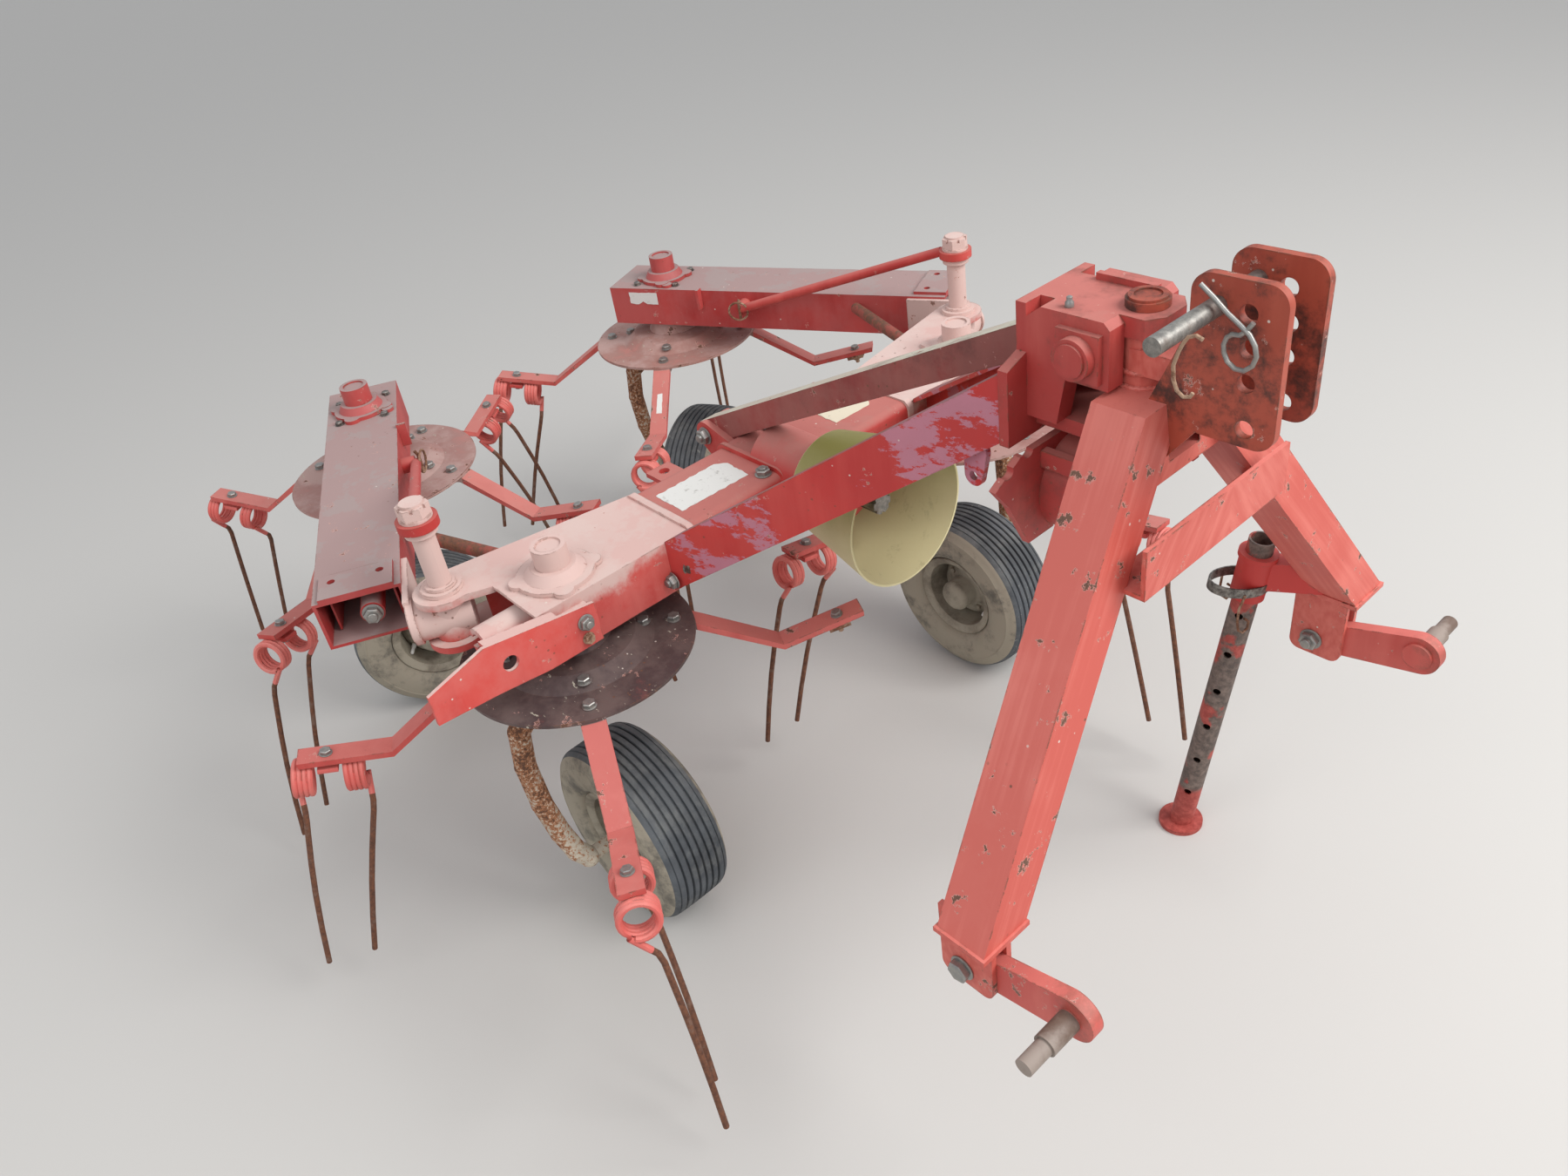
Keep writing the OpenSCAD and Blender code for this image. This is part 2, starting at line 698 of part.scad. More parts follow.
module stand() {
    color(rust) in_frame() {
        foot = stand_x_y(ground);
        translate([foot.x, foot.y, ground]) cylinder(h = 8, r = foot_r);
        on_stand() difference() {
            rotate([0, 0, 37]) translate([0, 0, ground + 5]) cylinder(h = stand_top - ground - 5, r = stand_r);
            rotate([0, 0, 37]) translate([0, 0, ground + 30]) cylinder(h = stand_top, r = stand_r - 3);
            // Holes that the strap's pin goes through
            for (z = [130:76:510]) translate([0, 0, z]) rotate([0, 90, 75]) translate([0, 0, -40])
                cylinder(h = 80, r = 6);
        }
    }
}

module outer_beam_at_work() {
    y1 = outer_y + outer_past;
    difference() {
        union() {
            translate([outer_side, outer_start, outer_bottom]) cube([outer_w, y1 - outer_start, outer_depth]);
            // Doubler on the open end
            translate([outer_side + 10, outer_start, beam_top - eps]) cube([outer_w - 20, 66, 6 + eps]);
        }
        translate([outer_side + beam_wall, outer_start - eps, outer_bottom + beam_wall])
            cube([outer_w - 2 * beam_wall, outer_mouth, outer_depth - 2 * beam_wall]);
        for (x = [-36, 36]) translate([outer_x + x, outer_start + 44, beam_top]) cylinder(h = 20, r = 6);
    }
    translate([claw_x, outer_start + 6, outer_bottom + outer_depth / 2]) rotate([-90, 0, 0]) difference() {
        cylinder(h = outer_mouth, r = claw_hub_r);
        translate([0, 0, -eps]) cylinder(h = 12, r = 8);
    }
    translate([outer_x, outer_y, 0]) gear_cap(50);
    translate([outer_x - 49, outer_y - 31, beam_top - eps]) cylinder(h = 6 + eps, r = 11);
    // Lug for the tie rod's keeper
    translate([outer_side - 16, outer_y - 120, beam_top - 38]) cube([16 + eps, 6, 44]);
}

module outer_beam_right() { color(dusty) in_frame() on_side(-1) folded() outer_beam_at_work(); }
module outer_beam_left() { color(paint) in_frame() on_side(1) folded() outer_beam_at_work(); }

module float_joint_at_work() {
    difference() {
        union() {
            translate([hinge.x - 34, hinge_y, beam_mid]) rotate([0, 90, 0])
                cylinder(h = 34 + outer_side - hinge.x, r = 31);
            translate([outer_side - 12, hinge_y, beam_mid]) rotate([0, 90, 0]) cylinder(h = 10, r = 35);
            translate([hinge.x, hinge_y, beam_bottom + ear_t + seat])
                cylinder(h = beam_depth - 2 * ear_t - 2 * seat, r = 30);
            translate([outer_side - 9, hinge_y - 6, outer_bottom + 4]) cube([9, 126, outer_depth - 8]);
        }
        translate([hinge.x, hinge_y, beam_bottom]) cylinder(h = beam_depth, r = hinge_pin_r + fit);
    }
}

module float_joint_right() { color(dusty) in_frame() on_side(-1) folded() float_joint_at_work(); }
module float_joint_left() { color(dusty) in_frame() on_side(1) folded() float_joint_at_work(); }

module tie_rod_at_work() {
    stud = [outer_side - 24, hinge_y + 479, beam_top - 28];
    translate([hinge.x, hinge_y, rod_eye_z]) difference() {
        cylinder(h = rod_eye_t, r = 30);
        translate([0, 0, -eps]) cylinder(h = 20, r = hinge_pin_r + fit);
    }
    rod([hinge.x + 4, hinge_y + 28, rod_eye_z + rod_eye_t / 2], stud, 9);
    translate(stud) rotate([0, 90, 0]) cylinder(h = 24, r = 14);
}

module tie_rod_right() { color(paint) in_frame() on_side(-1) folded() tie_rod_at_work(); }
module tie_rod_left() { color(paint) in_frame() on_side(1) folded() tie_rod_at_work(); }

// Wheel leg, axle, rim and tyre of a left-hand rotor whose shaft stands at the origin
axle_z = ground + tyre_r;
leg_path = [
    [0, 30, 540], [-8, 84, 526], [-14, leg_out - 8, 486], [-15, leg_out, 420], [-8, leg_out - 2, 340],
    [3, leg_out - 11, 275], [12, leg_out - 23, 228], [axle_x, leg_out - 38, axle_z]
];
shaft_r = 25;
axle_r = 12.5;
module wheel_leg_shape(top) {
    for (i = [0:len(leg_path) - 2]) rod(leg_path[i], leg_path[i + 1], leg_r);
    for (p = leg_path) translate(p) sphere(r = leg_r + joint_swell);
    translate([0, 0, 530]) cylinder(h = disc_z - disc_t - 530 - seat, r = 34);
    translate([0, 0, 530]) cylinder(h = top - 530, r = shaft_r);
    rod([axle_x, leg_out - 38, axle_z], [axle_x, -58, axle_z], axle_r);
}

module rim_shape() {
    bore = axle_r + fit;
    flange = rim_r - 14;
    translate([axle_x, -tyre_in, axle_z]) rotate([90, 0, 0]) rotate_extrude() polygon([
        [0, 62], [18, 62], [26, 58], [31, 51], [31, 22], [43, 18], [57, 12], [64, 2], [flange, -6],
        [flange, 48], [rim_r, 53], [rim_r, 49], [flange + 4, 43], [flange + 4, -43], [rim_r, -49], [rim_r, -53],
        [flange, -48], [flange, -12], [62, -4], [53, 6], [29, 11], [29, -47], [bore, -47], [bore, 47], [0, 47]
    ]);
}

module tyre_shape() {
    h = tyre_w / 2;
    bead = rim_r - 10;
    translate([axle_x, -tyre_in, axle_z]) rotate([90, 0, 0]) rotate_extrude() difference() {
        polygon([
            [bead, -43], [bead, 43], [rim_r, 49], [rim_r + 8, h - 9], [rim_r + 32, h],
            [tyre_r - 24, h - 2], [tyre_r - 7, h - 11], [tyre_r, h - 25],
            [tyre_r, 25 - h], [tyre_r - 7, 11 - h], [tyre_r - 24, 2 - h], [rim_r + 32, -h],
            [rim_r + 8, 9 - h], [rim_r, -49]
        ]);
        for (g = [-2.5:1:2.5]) translate([tyre_r - 5, g * 13 - 2]) square([8, 4]);
    }
}

module at_rotor(r) {
    if (r[1] == 0) on_side(r[0]) translate([0, inner_y, 0]) children();
    else on_side(r[0]) folded() translate([outer_x, outer_y, 0]) children();
}

module wheel_leg(r) { color(rust) in_frame() at_rotor(r) wheel_leg_shape(r[1] == 0 ? beam_bottom : outer_bottom); }
module rim(r) { color(rim_dust) in_frame() at_rotor(r) rim_shape(); }
module tyre(r) { color(rubber) in_frame() at_rotor(r) tyre_shape(); }

module wheel_leg_a() { wheel_leg(ROTOR_A); }
module wheel_leg_b() { wheel_leg(ROTOR_B); }
module wheel_leg_c() { wheel_leg(ROTOR_C); }
module wheel_leg_d() { wheel_leg(ROTOR_D); }
module rim_a() { rim(ROTOR_A); }
module rim_b() { rim(ROTOR_B); }
module rim_c() { rim(ROTOR_C); }
module rim_d() { rim(ROTOR_D); }
module tyre_a() { tyre(ROTOR_A); }
module tyre_b() { tyre(ROTOR_B); }
module tyre_c() { tyre(ROTOR_C); }
module tyre_d() { tyre(ROTOR_D); }

// A rotor's hub ends just under the beams
hub_top = beam_bottom - 1;

// One rotor: dished disc with its hub, and the bent flat-bar arms bolted under it
module disc_profile() {
    polygon([
        [shaft_r + fit, disc_z - disc_t], [disc_r, disc_z - disc_t], [disc_r, disc_z], [118, disc_z],
        [92, disc_z + 16], [hub_r + 8, disc_z + 20], [hub_r, hub_top], [shaft_r + fit, hub_top]
    ]);
}

module arm_shape() {
    under = disc_z - disc_t;
    translate([0, arm_w / 2, 0]) rotate([90, 0, 0]) linear_extrude(height = arm_w) polygon([
        [95, under], [disc_r - 2, under], [arm_bend_r, arm_bend_z], [arm_end_r, arm_end_z],
        [arm_end_r, arm_end_z - arm_t], [arm_bend_r, arm_bend_z - arm_t], [disc_r - 6, under - arm_t], [95, under - arm_t]
    ]);
}

module rotor(r) {
    at = shaft_at(r);
    color(dusty) in_frame() translate([at.x, at.y, 0]) rotate([0, 0, r[2]]) {
        rotate_extrude() disc_profile();
        for (a = arm_turns) rotate([0, 0, a]) arm_shape();
    }
}

// The cut through one coil: a bump for each turn outside, level inside
module coil_profile() {
    inside = coil_r - wire_d / 2;
    outside = coil_r + wire_d / 2;
    turn = coil_len / coil_turns;
    polygon(concat(
        [[inside, coil_len], [inside, 0]],
        [for (i = [0:coil_turns - 1]) for (p = [[-3, 0.03], [0, 0.3], [0, 0.7], [-3, 0.97]])
            [outside + p.x, (i + p.y) * turn]]
    ));
}

// One double-coil spring tine below the arm's end; sweep is the side that its legs lean to
module tine_shape(sweep) {
    along = [cos(arm_rise), 0, sin(arm_rise)];
    for (s = [-1, 1]) {
        middle = coil_at(s);
        leaves = middle + [6, -sweep * coil_r * 0.77, -coil_r * 0.64];
        kink = middle + [14, sweep * 14, -62];
        translate(middle - along * coil_len / 2) rotate([0, 90 - arm_rise, 0])
            rotate_extrude() coil_profile();
        rod(leaves, kink, wire_d / 2);
        translate(kink) sphere(d = wire_d + joint_swell);
        rod(kink, [tine_tip(s), sweep * tine_sweep, tip_z], wire_d / 2);
    }
    // The wire between the coils, under the clamp
    top = [-sin(arm_rise), 0, cos(arm_rise)] * (coil_r - 0.4);
    rod(coil_at(-1) + top + along * 10, coil_at(1) + top - along * 10, wire_d / 2 - 1);
}

module tines(r) {
    at = shaft_at(r);
    color(rust) in_frame() translate([at.x, at.y, 0]) rotate([0, 0, r[2]])
        for (i = r[4]) rotate([0, 0, arm_turns[i]]) tine_shape(r[3]);
}

module rotor_a() { rotor(ROTOR_A); }
module rotor_b() { rotor(ROTOR_B); }
module rotor_c() { rotor(ROTOR_C); }
module rotor_d() { rotor(ROTOR_D); }
module tines_a() { tines(ROTOR_A); }
module tines_b() { tines(ROTOR_B); }
module tines_c() { tines(ROTOR_C); }
module tines_d() { tines(ROTOR_D); }

centre_beam();
gearbox();
pto_shaft();
pto_guard();
drawbar_arms();
spine_strut();
pivot_bracket();
pivot_pin();
hinge_pins();
guard_brackets();
lock_struts();
headstock_frame();
mast_plates();
top_link_pin();
lower_arms();
centring_plate();
stand_sleeve();
stand();
outer_beam_right();
outer_beam_left();
float_joint_right();
float_joint_left();
tie_rod_right();
tie_rod_left();
wheel_leg_a();
wheel_leg_b();
wheel_leg_c();
wheel_leg_d();
rim_a();
rim_b();
rim_c();
rim_d();
tyre_a();
tyre_b();
tyre_c();
tyre_d();
rotor_a();
rotor_b();
rotor_c();
rotor_d();
tines_a();
tines_b();
tines_c();
tines_d();
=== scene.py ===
"""Looks of the four-rotor hay tedder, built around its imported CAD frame."""
import math
from collections import namedtuple

import bmesh
import bpy
from mathutils import Matrix, Vector


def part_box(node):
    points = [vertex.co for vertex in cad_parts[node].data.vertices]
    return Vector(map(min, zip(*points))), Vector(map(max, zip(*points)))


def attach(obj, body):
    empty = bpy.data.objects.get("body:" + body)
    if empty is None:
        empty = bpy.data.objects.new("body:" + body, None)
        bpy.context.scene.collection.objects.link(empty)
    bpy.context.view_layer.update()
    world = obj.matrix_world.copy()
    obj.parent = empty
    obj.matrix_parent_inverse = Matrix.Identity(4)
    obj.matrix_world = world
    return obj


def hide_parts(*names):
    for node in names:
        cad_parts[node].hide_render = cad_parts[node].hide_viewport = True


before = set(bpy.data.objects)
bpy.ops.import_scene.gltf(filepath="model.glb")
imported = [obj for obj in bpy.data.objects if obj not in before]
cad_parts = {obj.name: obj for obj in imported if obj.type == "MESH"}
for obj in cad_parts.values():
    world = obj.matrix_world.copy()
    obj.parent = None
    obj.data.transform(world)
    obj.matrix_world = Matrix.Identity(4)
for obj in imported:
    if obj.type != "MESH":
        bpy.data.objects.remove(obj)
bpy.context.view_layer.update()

# The CAD's own datum: under the centre beam's middle, at the base level that its heights are counted from
HINGE_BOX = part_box("hinge_pins")
FORK_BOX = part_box("pivot_pin")
SWING_X = 671.0
GROUND = 40.0
MM = 0.001
DATUM = Vector((
    (FORK_BOX[0][0] + FORK_BOX[1][0]) / 2 - SWING_X * MM,
    (HINGE_BOX[0][1] + HINGE_BOX[1][1]) / 2,
    -GROUND * MM,
))

# Driving sizes of the CAD that the pieces below are set on, in its millimetres

# The centre beam, the inner rotors' shafts, the left fold pin, and the outer shaft on the left arm at work
BEAM_TOP = 714.0
BEAM_FRONT = 67.0
INNER_Y = 434.0
HINGE = Vector((-110.0, 562.0))
FOLD = math.radians(116.0)
OUTER_X = 15.0
OUTER_Y = 1262.0

# The wheels' axles from their rotor's shaft, and how far inwards of it a tyre's middle lies
AXLE_X = 18.0
AXLE_Z = 205.0
TYRE_R = 165.0
TYRE_IN = 12.0

# A rotor's disc, its arms' bend and end as (radius, height of the top face), and its tines
DISC_R = 180.0
DISC_Z = 583.0
DISC_T = 4.0
ARM_BEND = Vector((308.0, 492.0))
ARM_END = Vector((442.0, 516.0))
ARM_T = 10.0
TINE_BOLT_R = 402.0
COIL_R = 26.0
COIL_OFFSET = 38.0
WIRE_R = 4.75
TIP_Z = 112.0
TINE_LEAN = 88.0
TINE_SWEEP = 34.0

# A rotor's side is -1 on the machine's right and 1 on its left, and it folds if an outer beam carries it.
# start is its first arm's angle in degrees, sweep the way its tines trail, fitted the arms that have a tine.
Rotor = namedtuple("Rotor", "side folds start sweep fitted")
ROTORS = {
    "a": Rotor(-1, True, 33.0, -1, (0, 1, 2, 3)),
    "b": Rotor(-1, False, -27.0, 1, (0, 2, 3)),
    "c": Rotor(1, False, -1.0, -1, (0, 1, 2, 3)),
    "d": Rotor(1, True, 42.0, 1, (1, 2, 3)),
}
ARMS = 4

# The photograph's viewpoint, in the CAD's millimetres and degrees, found by fitting about forty points
PHOTO_WIDTH = 1800
FOCAL_PX = 1355.6
SENSOR_MM = 36.0
CAMERA_AT = (1340.3, -1025.1, 1642.4)
CAMERA_HEADING = 143.55
CAMERA_DOWN = 35.48
CAMERA_ROLL = 9.40


# Places

def at(x, y, z):
    """A point in the CAD's millimetres from its datum, as a place in the frame."""
    return DATUM + Vector((x, y, z)) * MM


def on_chassis(p):
    """Takes a point given in the CAD's millimetres to the frame."""
    return at(p[0], p[1], p[2])


def on_arm(side):
    """Takes a point given for the left arm at work to the arm's folded place on either side."""
    def place(p):
        x = p[0] - HINGE.x
        y = p[1] - HINGE.y
        fx = HINGE.x + x * math.cos(FOLD) - y * math.sin(FOLD)
        fy = HINGE.y + x * math.sin(FOLD) + y * math.cos(FOLD)
        return at(fx, side * fy, p[2])
    return place


def on_side(side):
    """Takes a point given for the machine's left side to either side."""
    def place(p):
        return at(p[0], side * p[1], p[2])
    return place


def shaft_place(key):
    """Where a rotor's upright axis stands, at the base level."""
    rotor = ROTORS[key]
    if rotor.folds:
        return on_arm(rotor.side)((OUTER_X, OUTER_Y, 0.0))
    return at(0.0, rotor.side * INNER_Y, 0.0)


def on_rotor_arm(key, index):
    """Takes (out along the arm, across it, up) to the frame."""
    centre = shaft_place(key)
    angle = math.radians(ROTORS[key].start + 360.0 / ARMS * index)
    c, s = math.cos(angle), math.sin(angle)

    def place(p):
        return centre + Vector((p[0] * c - p[1] * s, p[0] * s + p[1] * c, p[2])) * MM
    return place


def at_wheel(key):
    """Takes a point round a left wheel whose shaft stands at (0, 0) to the wheel's place."""
    rotor = ROTORS[key]
    if rotor.folds:
        arm = on_arm(rotor.side)
        return lambda p: arm((OUTER_X + p[0], OUTER_Y + p[1], p[2]))
    plain = on_side(rotor.side)
    return lambda p: plain((p[0], INNER_Y + p[1], p[2]))


# Shapes

SHARP_ANGLE = math.radians(38)


def axes(origin, along, hint=(0.0, 0.0, 1.0)):
    """Axes at origin whose Z is along, with X as near to hint as it can be."""
    z = Vector(along).normalized()
    x = Vector(hint) - z * z.dot(Vector(hint))
    if x.length < 1e-4:
        x = z.orthogonal()
    x.normalize()
    y = z.cross(x)
    return Matrix.Translation(Vector(origin)) @ Matrix((x, y, z)).transposed().to_4x4()


def around(steps):
    """The angles of so many even steps round a circle."""
    return [2 * math.pi * i / steps for i in range(steps)]


def turned(local, profile, steps):
    """The rings that (radius, height) points draw round local's Z."""
    return [
        [local @ Vector((r * math.cos(a), r * math.sin(a), z)) for a in around(steps)]
        for r, z in profile
    ]


class Piece:
    """Gathers closed shapes into one object that rides on a CAD body. Shapes are drawn in millimetres."""

    def __init__(self, name, body, materials, slot, place=on_chassis):
        self.name = name
        self.body = body
        self.materials = materials
        self.slot = slot
        self.place = place
        self.mesh = bmesh.new()

    def rings(self, rings, material=0, smooth=True, loop=False):
        """Skins rings of equally many points, with flat ends or joined in a loop."""
        made = [[self.mesh.verts.new(self.place(p)) for p in ring] for ring in rings]
        count = len(made[0])
        pairs = list(zip(made, made[1:]))
        if loop:
            pairs.append((made[-1], made[0]))
        faces = []
        for low, high in pairs:
            for i in range(count):
                j = (i + 1) % count
                faces.append(self.mesh.faces.new((low[i], low[j], high[j], high[i])))
        if not loop:
            faces.append(self.mesh.faces.new(made[0][::-1]))
            faces.append(self.mesh.faces.new(made[-1]))
        for face in faces:
            face.material_index = material
            face.smooth = smooth

    def turn(self, local, profile, steps=32, material=0):
        """Turns a closed outline of (radius, height) points round local's Z."""
        self.rings(turned(local, profile, steps), material, loop=True)

    def knob(self, local, profile, steps=32, material=0):
        """Turns an open outline round local's Z and closes it with flat ends."""
        self.rings(turned(local, profile, steps), material)

    def wire(self, points, radius, sides=8, material=0, loop=False):
        """A round wire along points, its section carried along without twist."""
        points = [Vector(p) for p in points]
        count = len(points)
        tangents = []
        for i in range(count):
            before = points[i - 1] if (i > 0 or loop) else points[0]
            after = points[(i + 1) % count] if (i < count - 1 or loop) else points[-1]
            tangents.append((after - before).normalized())
        normal = tangents[0].orthogonal().normalized()
        rings = []
        for point, tangent in zip(points, tangents):
            normal = (normal - tangent * normal.dot(tangent)).normalized()
            across = tangent.cross(normal)
            rings.append([
                point + radius * (math.cos(a) * normal + math.sin(a) * across)
                for a in around(sides)
            ])
        self.rings(rings, material, loop=loop)

    def plate(self, local, outline, thickness, material=0, edge=0.8):
        """A flat plate: outline in local's XY, from Z = 0 up, with its rims slightly rounded."""
        corners = [Vector(p) for p in outline]
        middle = sum(corners, Vector((0.0, 0.0))) / len(corners)
        rings = []
        for z, inset in ((0.0, edge), (edge, 0.0), (thickness - edge, 0.0), (thickness, edge)):
            inner = [corner + (middle - corner).normalized() * inset for corner in corners]
            rings.append([local @ Vector((p.x, p.y, z)) for p in inner])
        self.rings(rings, material, smooth=False)

    def block(self, low, high, material=0):
        """An upright box between two corners with slightly rounded rims."""
        outline = [(low[0], low[1]), (high[0], low[1]), (high[0], high[1]), (low[0], high[1])]
        self.plate(Matrix.Translation((0, 0, low[2])), outline, high[2] - low[2], material, edge=1.0)

    def bolt(self, origin, along, size, material=0, hint=(0.3, 0.2, 1.0), shank=0.0):
        """A hexagon head standing on origin, with its washer, a rounded crown and any shank past it."""
        local = axes(origin, along, hint)
        washer = 0.16 * size
        top = washer + 0.65 * size
        self.knob(local, [
            (size, 0.0), (1.05 * size, washer * 0.3), (1.05 * size, washer * 0.8), (size, washer),
        ], 24, material)
        head = [(0.96, washer), (1.0, washer + 0.1 * size), (1.0, top - 0.12 * size), (0.86, top)]
        self.rings(turned(local, [(0.92 * size * grow, z) for grow, z in head], 6), material, smooth=False)
        if shank:
            end = top + shank
            self.knob(local, [(0.5 * size, washer), (0.5 * size, end - 1), (0.42 * size, end)], 16, material)

    def done(self, replaces=()):
        """Turns what was gathered into the object."""
        bmesh.ops.recalc_face_normals(self.mesh, faces=self.mesh.faces)
        mesh = bpy.data.meshes.new(self.name)
        self.mesh.to_mesh(mesh)
        self.mesh.free()
        mesh.set_sharp_from_angle(angle=SHARP_ANGLE)
        for material in self.materials:
            mesh.materials.append(material)
        piece = bpy.data.objects.new(self.name, mesh)
        bpy.context.collection.objects.link(piece)
        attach(piece, self.body)
        if replaces:
            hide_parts(*replaces)


# Materials

def srgb(r, g, b):
    """A colour read as 0 to 255 values, as linear light."""
    def linear(v):
        v = v / 255.0
        return v / 12.92 if v <= 0.04045 else ((v + 0.055) / 1.055) ** 2.4
    return (linear(r), linear(g), linear(b), 1.0)


class Shader:
    """A procedural material whose texture lies fixed in the object's own space. Its sizes are in metres."""

    BUMP_DISTANCE = 0.0008

    def __init__(self, name, metallic=0.0):
        self.material = bpy.data.materials.new(name)
        self.material.use_nodes = True
        self.tree = self.material.node_tree
        self.surface = self.tree.nodes["Principled BSDF"]
        self.surface.inputs["Metallic"].default_value = metallic
        self.coordinates = self.node("TexCoord").outputs["Object"]

    def node(self, kind):
        return self.tree.nodes.new("ShaderNode" + kind)

    def link(self, source, socket):
        """Joins a socket to another node's output, or sets it to a number or a tuple."""
        if isinstance(source, (int, float, tuple)):
            socket.default_value = source
        else:
            self.tree.links.new(source, socket)

    def math(self, operation, a, b=0.0, clamp=False):
        node = self.node("Math")
        node.operation = operation
        node.use_clamp = clamp
        self.link(a, node.inputs[0])
        self.link(b, node.inputs[1])
        return node.outputs[0]

    def plus(self, a, b, clamp=False):
        return self.math("ADD", a, b, clamp)

    def minus(self, a, b):
        return self.math("SUBTRACT", a, b)

    def times(self, a, b, clamp=False):
        return self.math("MULTIPLY", a, b, clamp)

    def most(self, a, b):
        return self.math("MAXIMUM", a, b)

    def vector(self, operation, a, b=None):
        """The outputs of a vector operation."""
        node = self.node("VectorMath")
        node.operation = operation
        self.link(a, node.inputs[0])
        if b is not None:
            self.link(b, node.inputs[1])
        return node.outputs

    def part(self, vector, axis):
        split = self.node("SeparateXYZ")
        self.link(vector, split.inputs[0])
        return split.outputs[axis]

    def step(self, value, low, high, to_low=0.0, to_high=1.0):
        """Goes smoothly from to_low to to_high while value goes from low to high."""
        node = self.node("MapRange")
        node.interpolation_type = "SMOOTHSTEP"
        self.link(value, node.inputs["Value"])
        ends = {"From Min": low, "From Max": high, "To Min": to_low, "To Max": to_high}
        for socket, number in ends.items():
            node.inputs[socket].default_value = number
        return node.outputs["Result"]

    def blend(self, factor, a, b):
        """Colour a where factor is 0, and b where it is 1."""
        node = self.node("Mix")
        node.data_type = "RGBA"
        # The node has sockets of the same names for each type of data, and these are the colours'
        self.link(factor, node.inputs[0])
        self.link(a, node.inputs[6])
        self.link(b, node.inputs[7])
        return node.outputs[2]

    def moved(self, stretch, shift):
        """The coordinates stretched, and moved by shift so that no two textures are alike."""
        node = self.node("Mapping")
        node.inputs["Scale"].default_value = stretch
        node.inputs["Location"].default_value = (shift, 1.7 * shift, 2.3 * shift)
        self.link(self.coordinates, node.inputs["Vector"])
        return node.outputs[0]

    def noise(self, scale, detail, roughness=0.6, stretch=(1, 1, 1), shift=0.0):
        node = self.node("TexNoise")
        node.inputs["Scale"].default_value = scale
        node.inputs["Detail"].default_value = detail
        node.inputs["Roughness"].default_value = roughness
        self.link(self.moved(stretch, shift), node.inputs["Vector"])
        return node.outputs["Fac"]

    def speckle(self, scale, shift):
        """Distance from scattered points."""
        node = self.node("TexVoronoi")
        node.inputs["Scale"].default_value = scale
        self.link(self.moved((1, 1, 1), shift), node.inputs["Vector"])
        return node.outputs["Distance"]

    def brushed(self, grain, scale, stretch):
        """Noise drawn out along grain, the same on the machine's two sides."""
        mirrored = self.vector("ABSOLUTE", self.coordinates)[0]
        along = Vector(grain).normalized()
        across = along.orthogonal().normalized()
        joined = self.node("CombineXYZ")
        for socket, direction in zip(joined.inputs, (across, along.cross(across), along * stretch)):
            self.link(self.vector("DOT_PRODUCT", mirrored, tuple(direction))["Value"], socket)
        node = self.node("TexNoise")
        node.inputs["Scale"].default_value = scale
        node.inputs["Detail"].default_value = 4.0
        self.link(joined.outputs[0], node.inputs["Vector"])
        return node.outputs["Fac"]

    def facing_up(self, low=0.3, high=0.9):
        normal = self.node("NewGeometry").outputs["Normal"]
        return self.step(self.part(normal, "Z"), low, high)

    def edge(self, radius=0.004):
        """Where the surface bends sharply within the radius: rims and corners."""
        bevel = self.node("Bevel")
        bevel.samples = 4
        bevel.inputs["Radius"].default_value = radius
        normal = self.node("NewGeometry").outputs["Normal"]
        alike = self.vector("DOT_PRODUCT", bevel.outputs[0], normal)["Value"]
        return self.step(self.minus(1.0, alike), 0.02, 0.25)

    def height(self):
        return self.part(self.coordinates, "Z")

    def from_axis(self, place):
        """Distance from an upright axis through place."""
        moved = self.vector("SUBTRACT", self.coordinates, (place.x, place.y, 0.0))[0]
        flat = self.vector("MULTIPLY", moved, (1.0, 1.0, 0.0))[0]
        return self.vector("LENGTH", flat)["Value"]

    def from_middle(self):
        """Distance sideways from the machine's middle plane."""
        return self.math("ABSOLUTE", self.minus(self.part(self.coordinates, "Y"), DATUM.y))

    def finish(self, colour, roughness, relief=None, strength=0.5):
        self.link(colour, self.surface.inputs["Base Color"])
        self.link(roughness, self.surface.inputs["Roughness"])
        if relief is not None:
            bump = self.node("Bump")
            bump.inputs["Strength"].default_value = strength
            bump.inputs["Distance"].default_value = self.BUMP_DISTANCE
            self.link(relief, bump.inputs["Height"])
            self.link(bump.outputs[0], self.surface.inputs["Normal"])
        return self.material


def settled_dust(s, up, patchy, fine, dusty, side_dust):
    """Where dust lies: on what faces up, and on sides between side_dust's heights and above them."""
    settled = s.step(s.plus(patchy, s.times(fine, 0.25)), 0.45, 0.72)
    settled = s.times(settled, s.plus(s.times(up, 0.85), 0.10))
    settled = s.times(settled, dusty, clamp=True)
    settled = s.most(settled, s.times(up, dusty * 0.8, clamp=True))
    if side_dust is None:
        return settled
    ragged = s.plus(s.height(), s.times(s.minus(patchy, 0.5), 0.12))
    ragged = s.plus(ragged, s.times(s.minus(fine, 0.5), 0.02))
    return s.most(settled, s.step(ragged, side_dust[0], side_dust[1], 0.0, 0.85))


def disc_dirt(s, colour, patchy, shift, axis, thin, thick):
    """Colours a rotor's disc with what has settled on it, thin and thick, and with litter."""
    near = s.step(s.from_axis(axis), DISC_R * MM, (DISC_R + 1.5) * MM, 1.0, 0.0)
    near = s.times(near, s.step(patchy, 0.28, 0.44, 0.55, 0.96))
    colour = s.blend(near, colour, s.blend(s.step(patchy, 0.40, 0.62), thin, thick))
    litter = s.step(s.noise(64.0, 5, 0.6, stretch=(1.0, 2.2, 1.0), shift=shift + 19), 0.665, 0.685)
    return s.blend(s.times(litter, near), colour, LITTER)


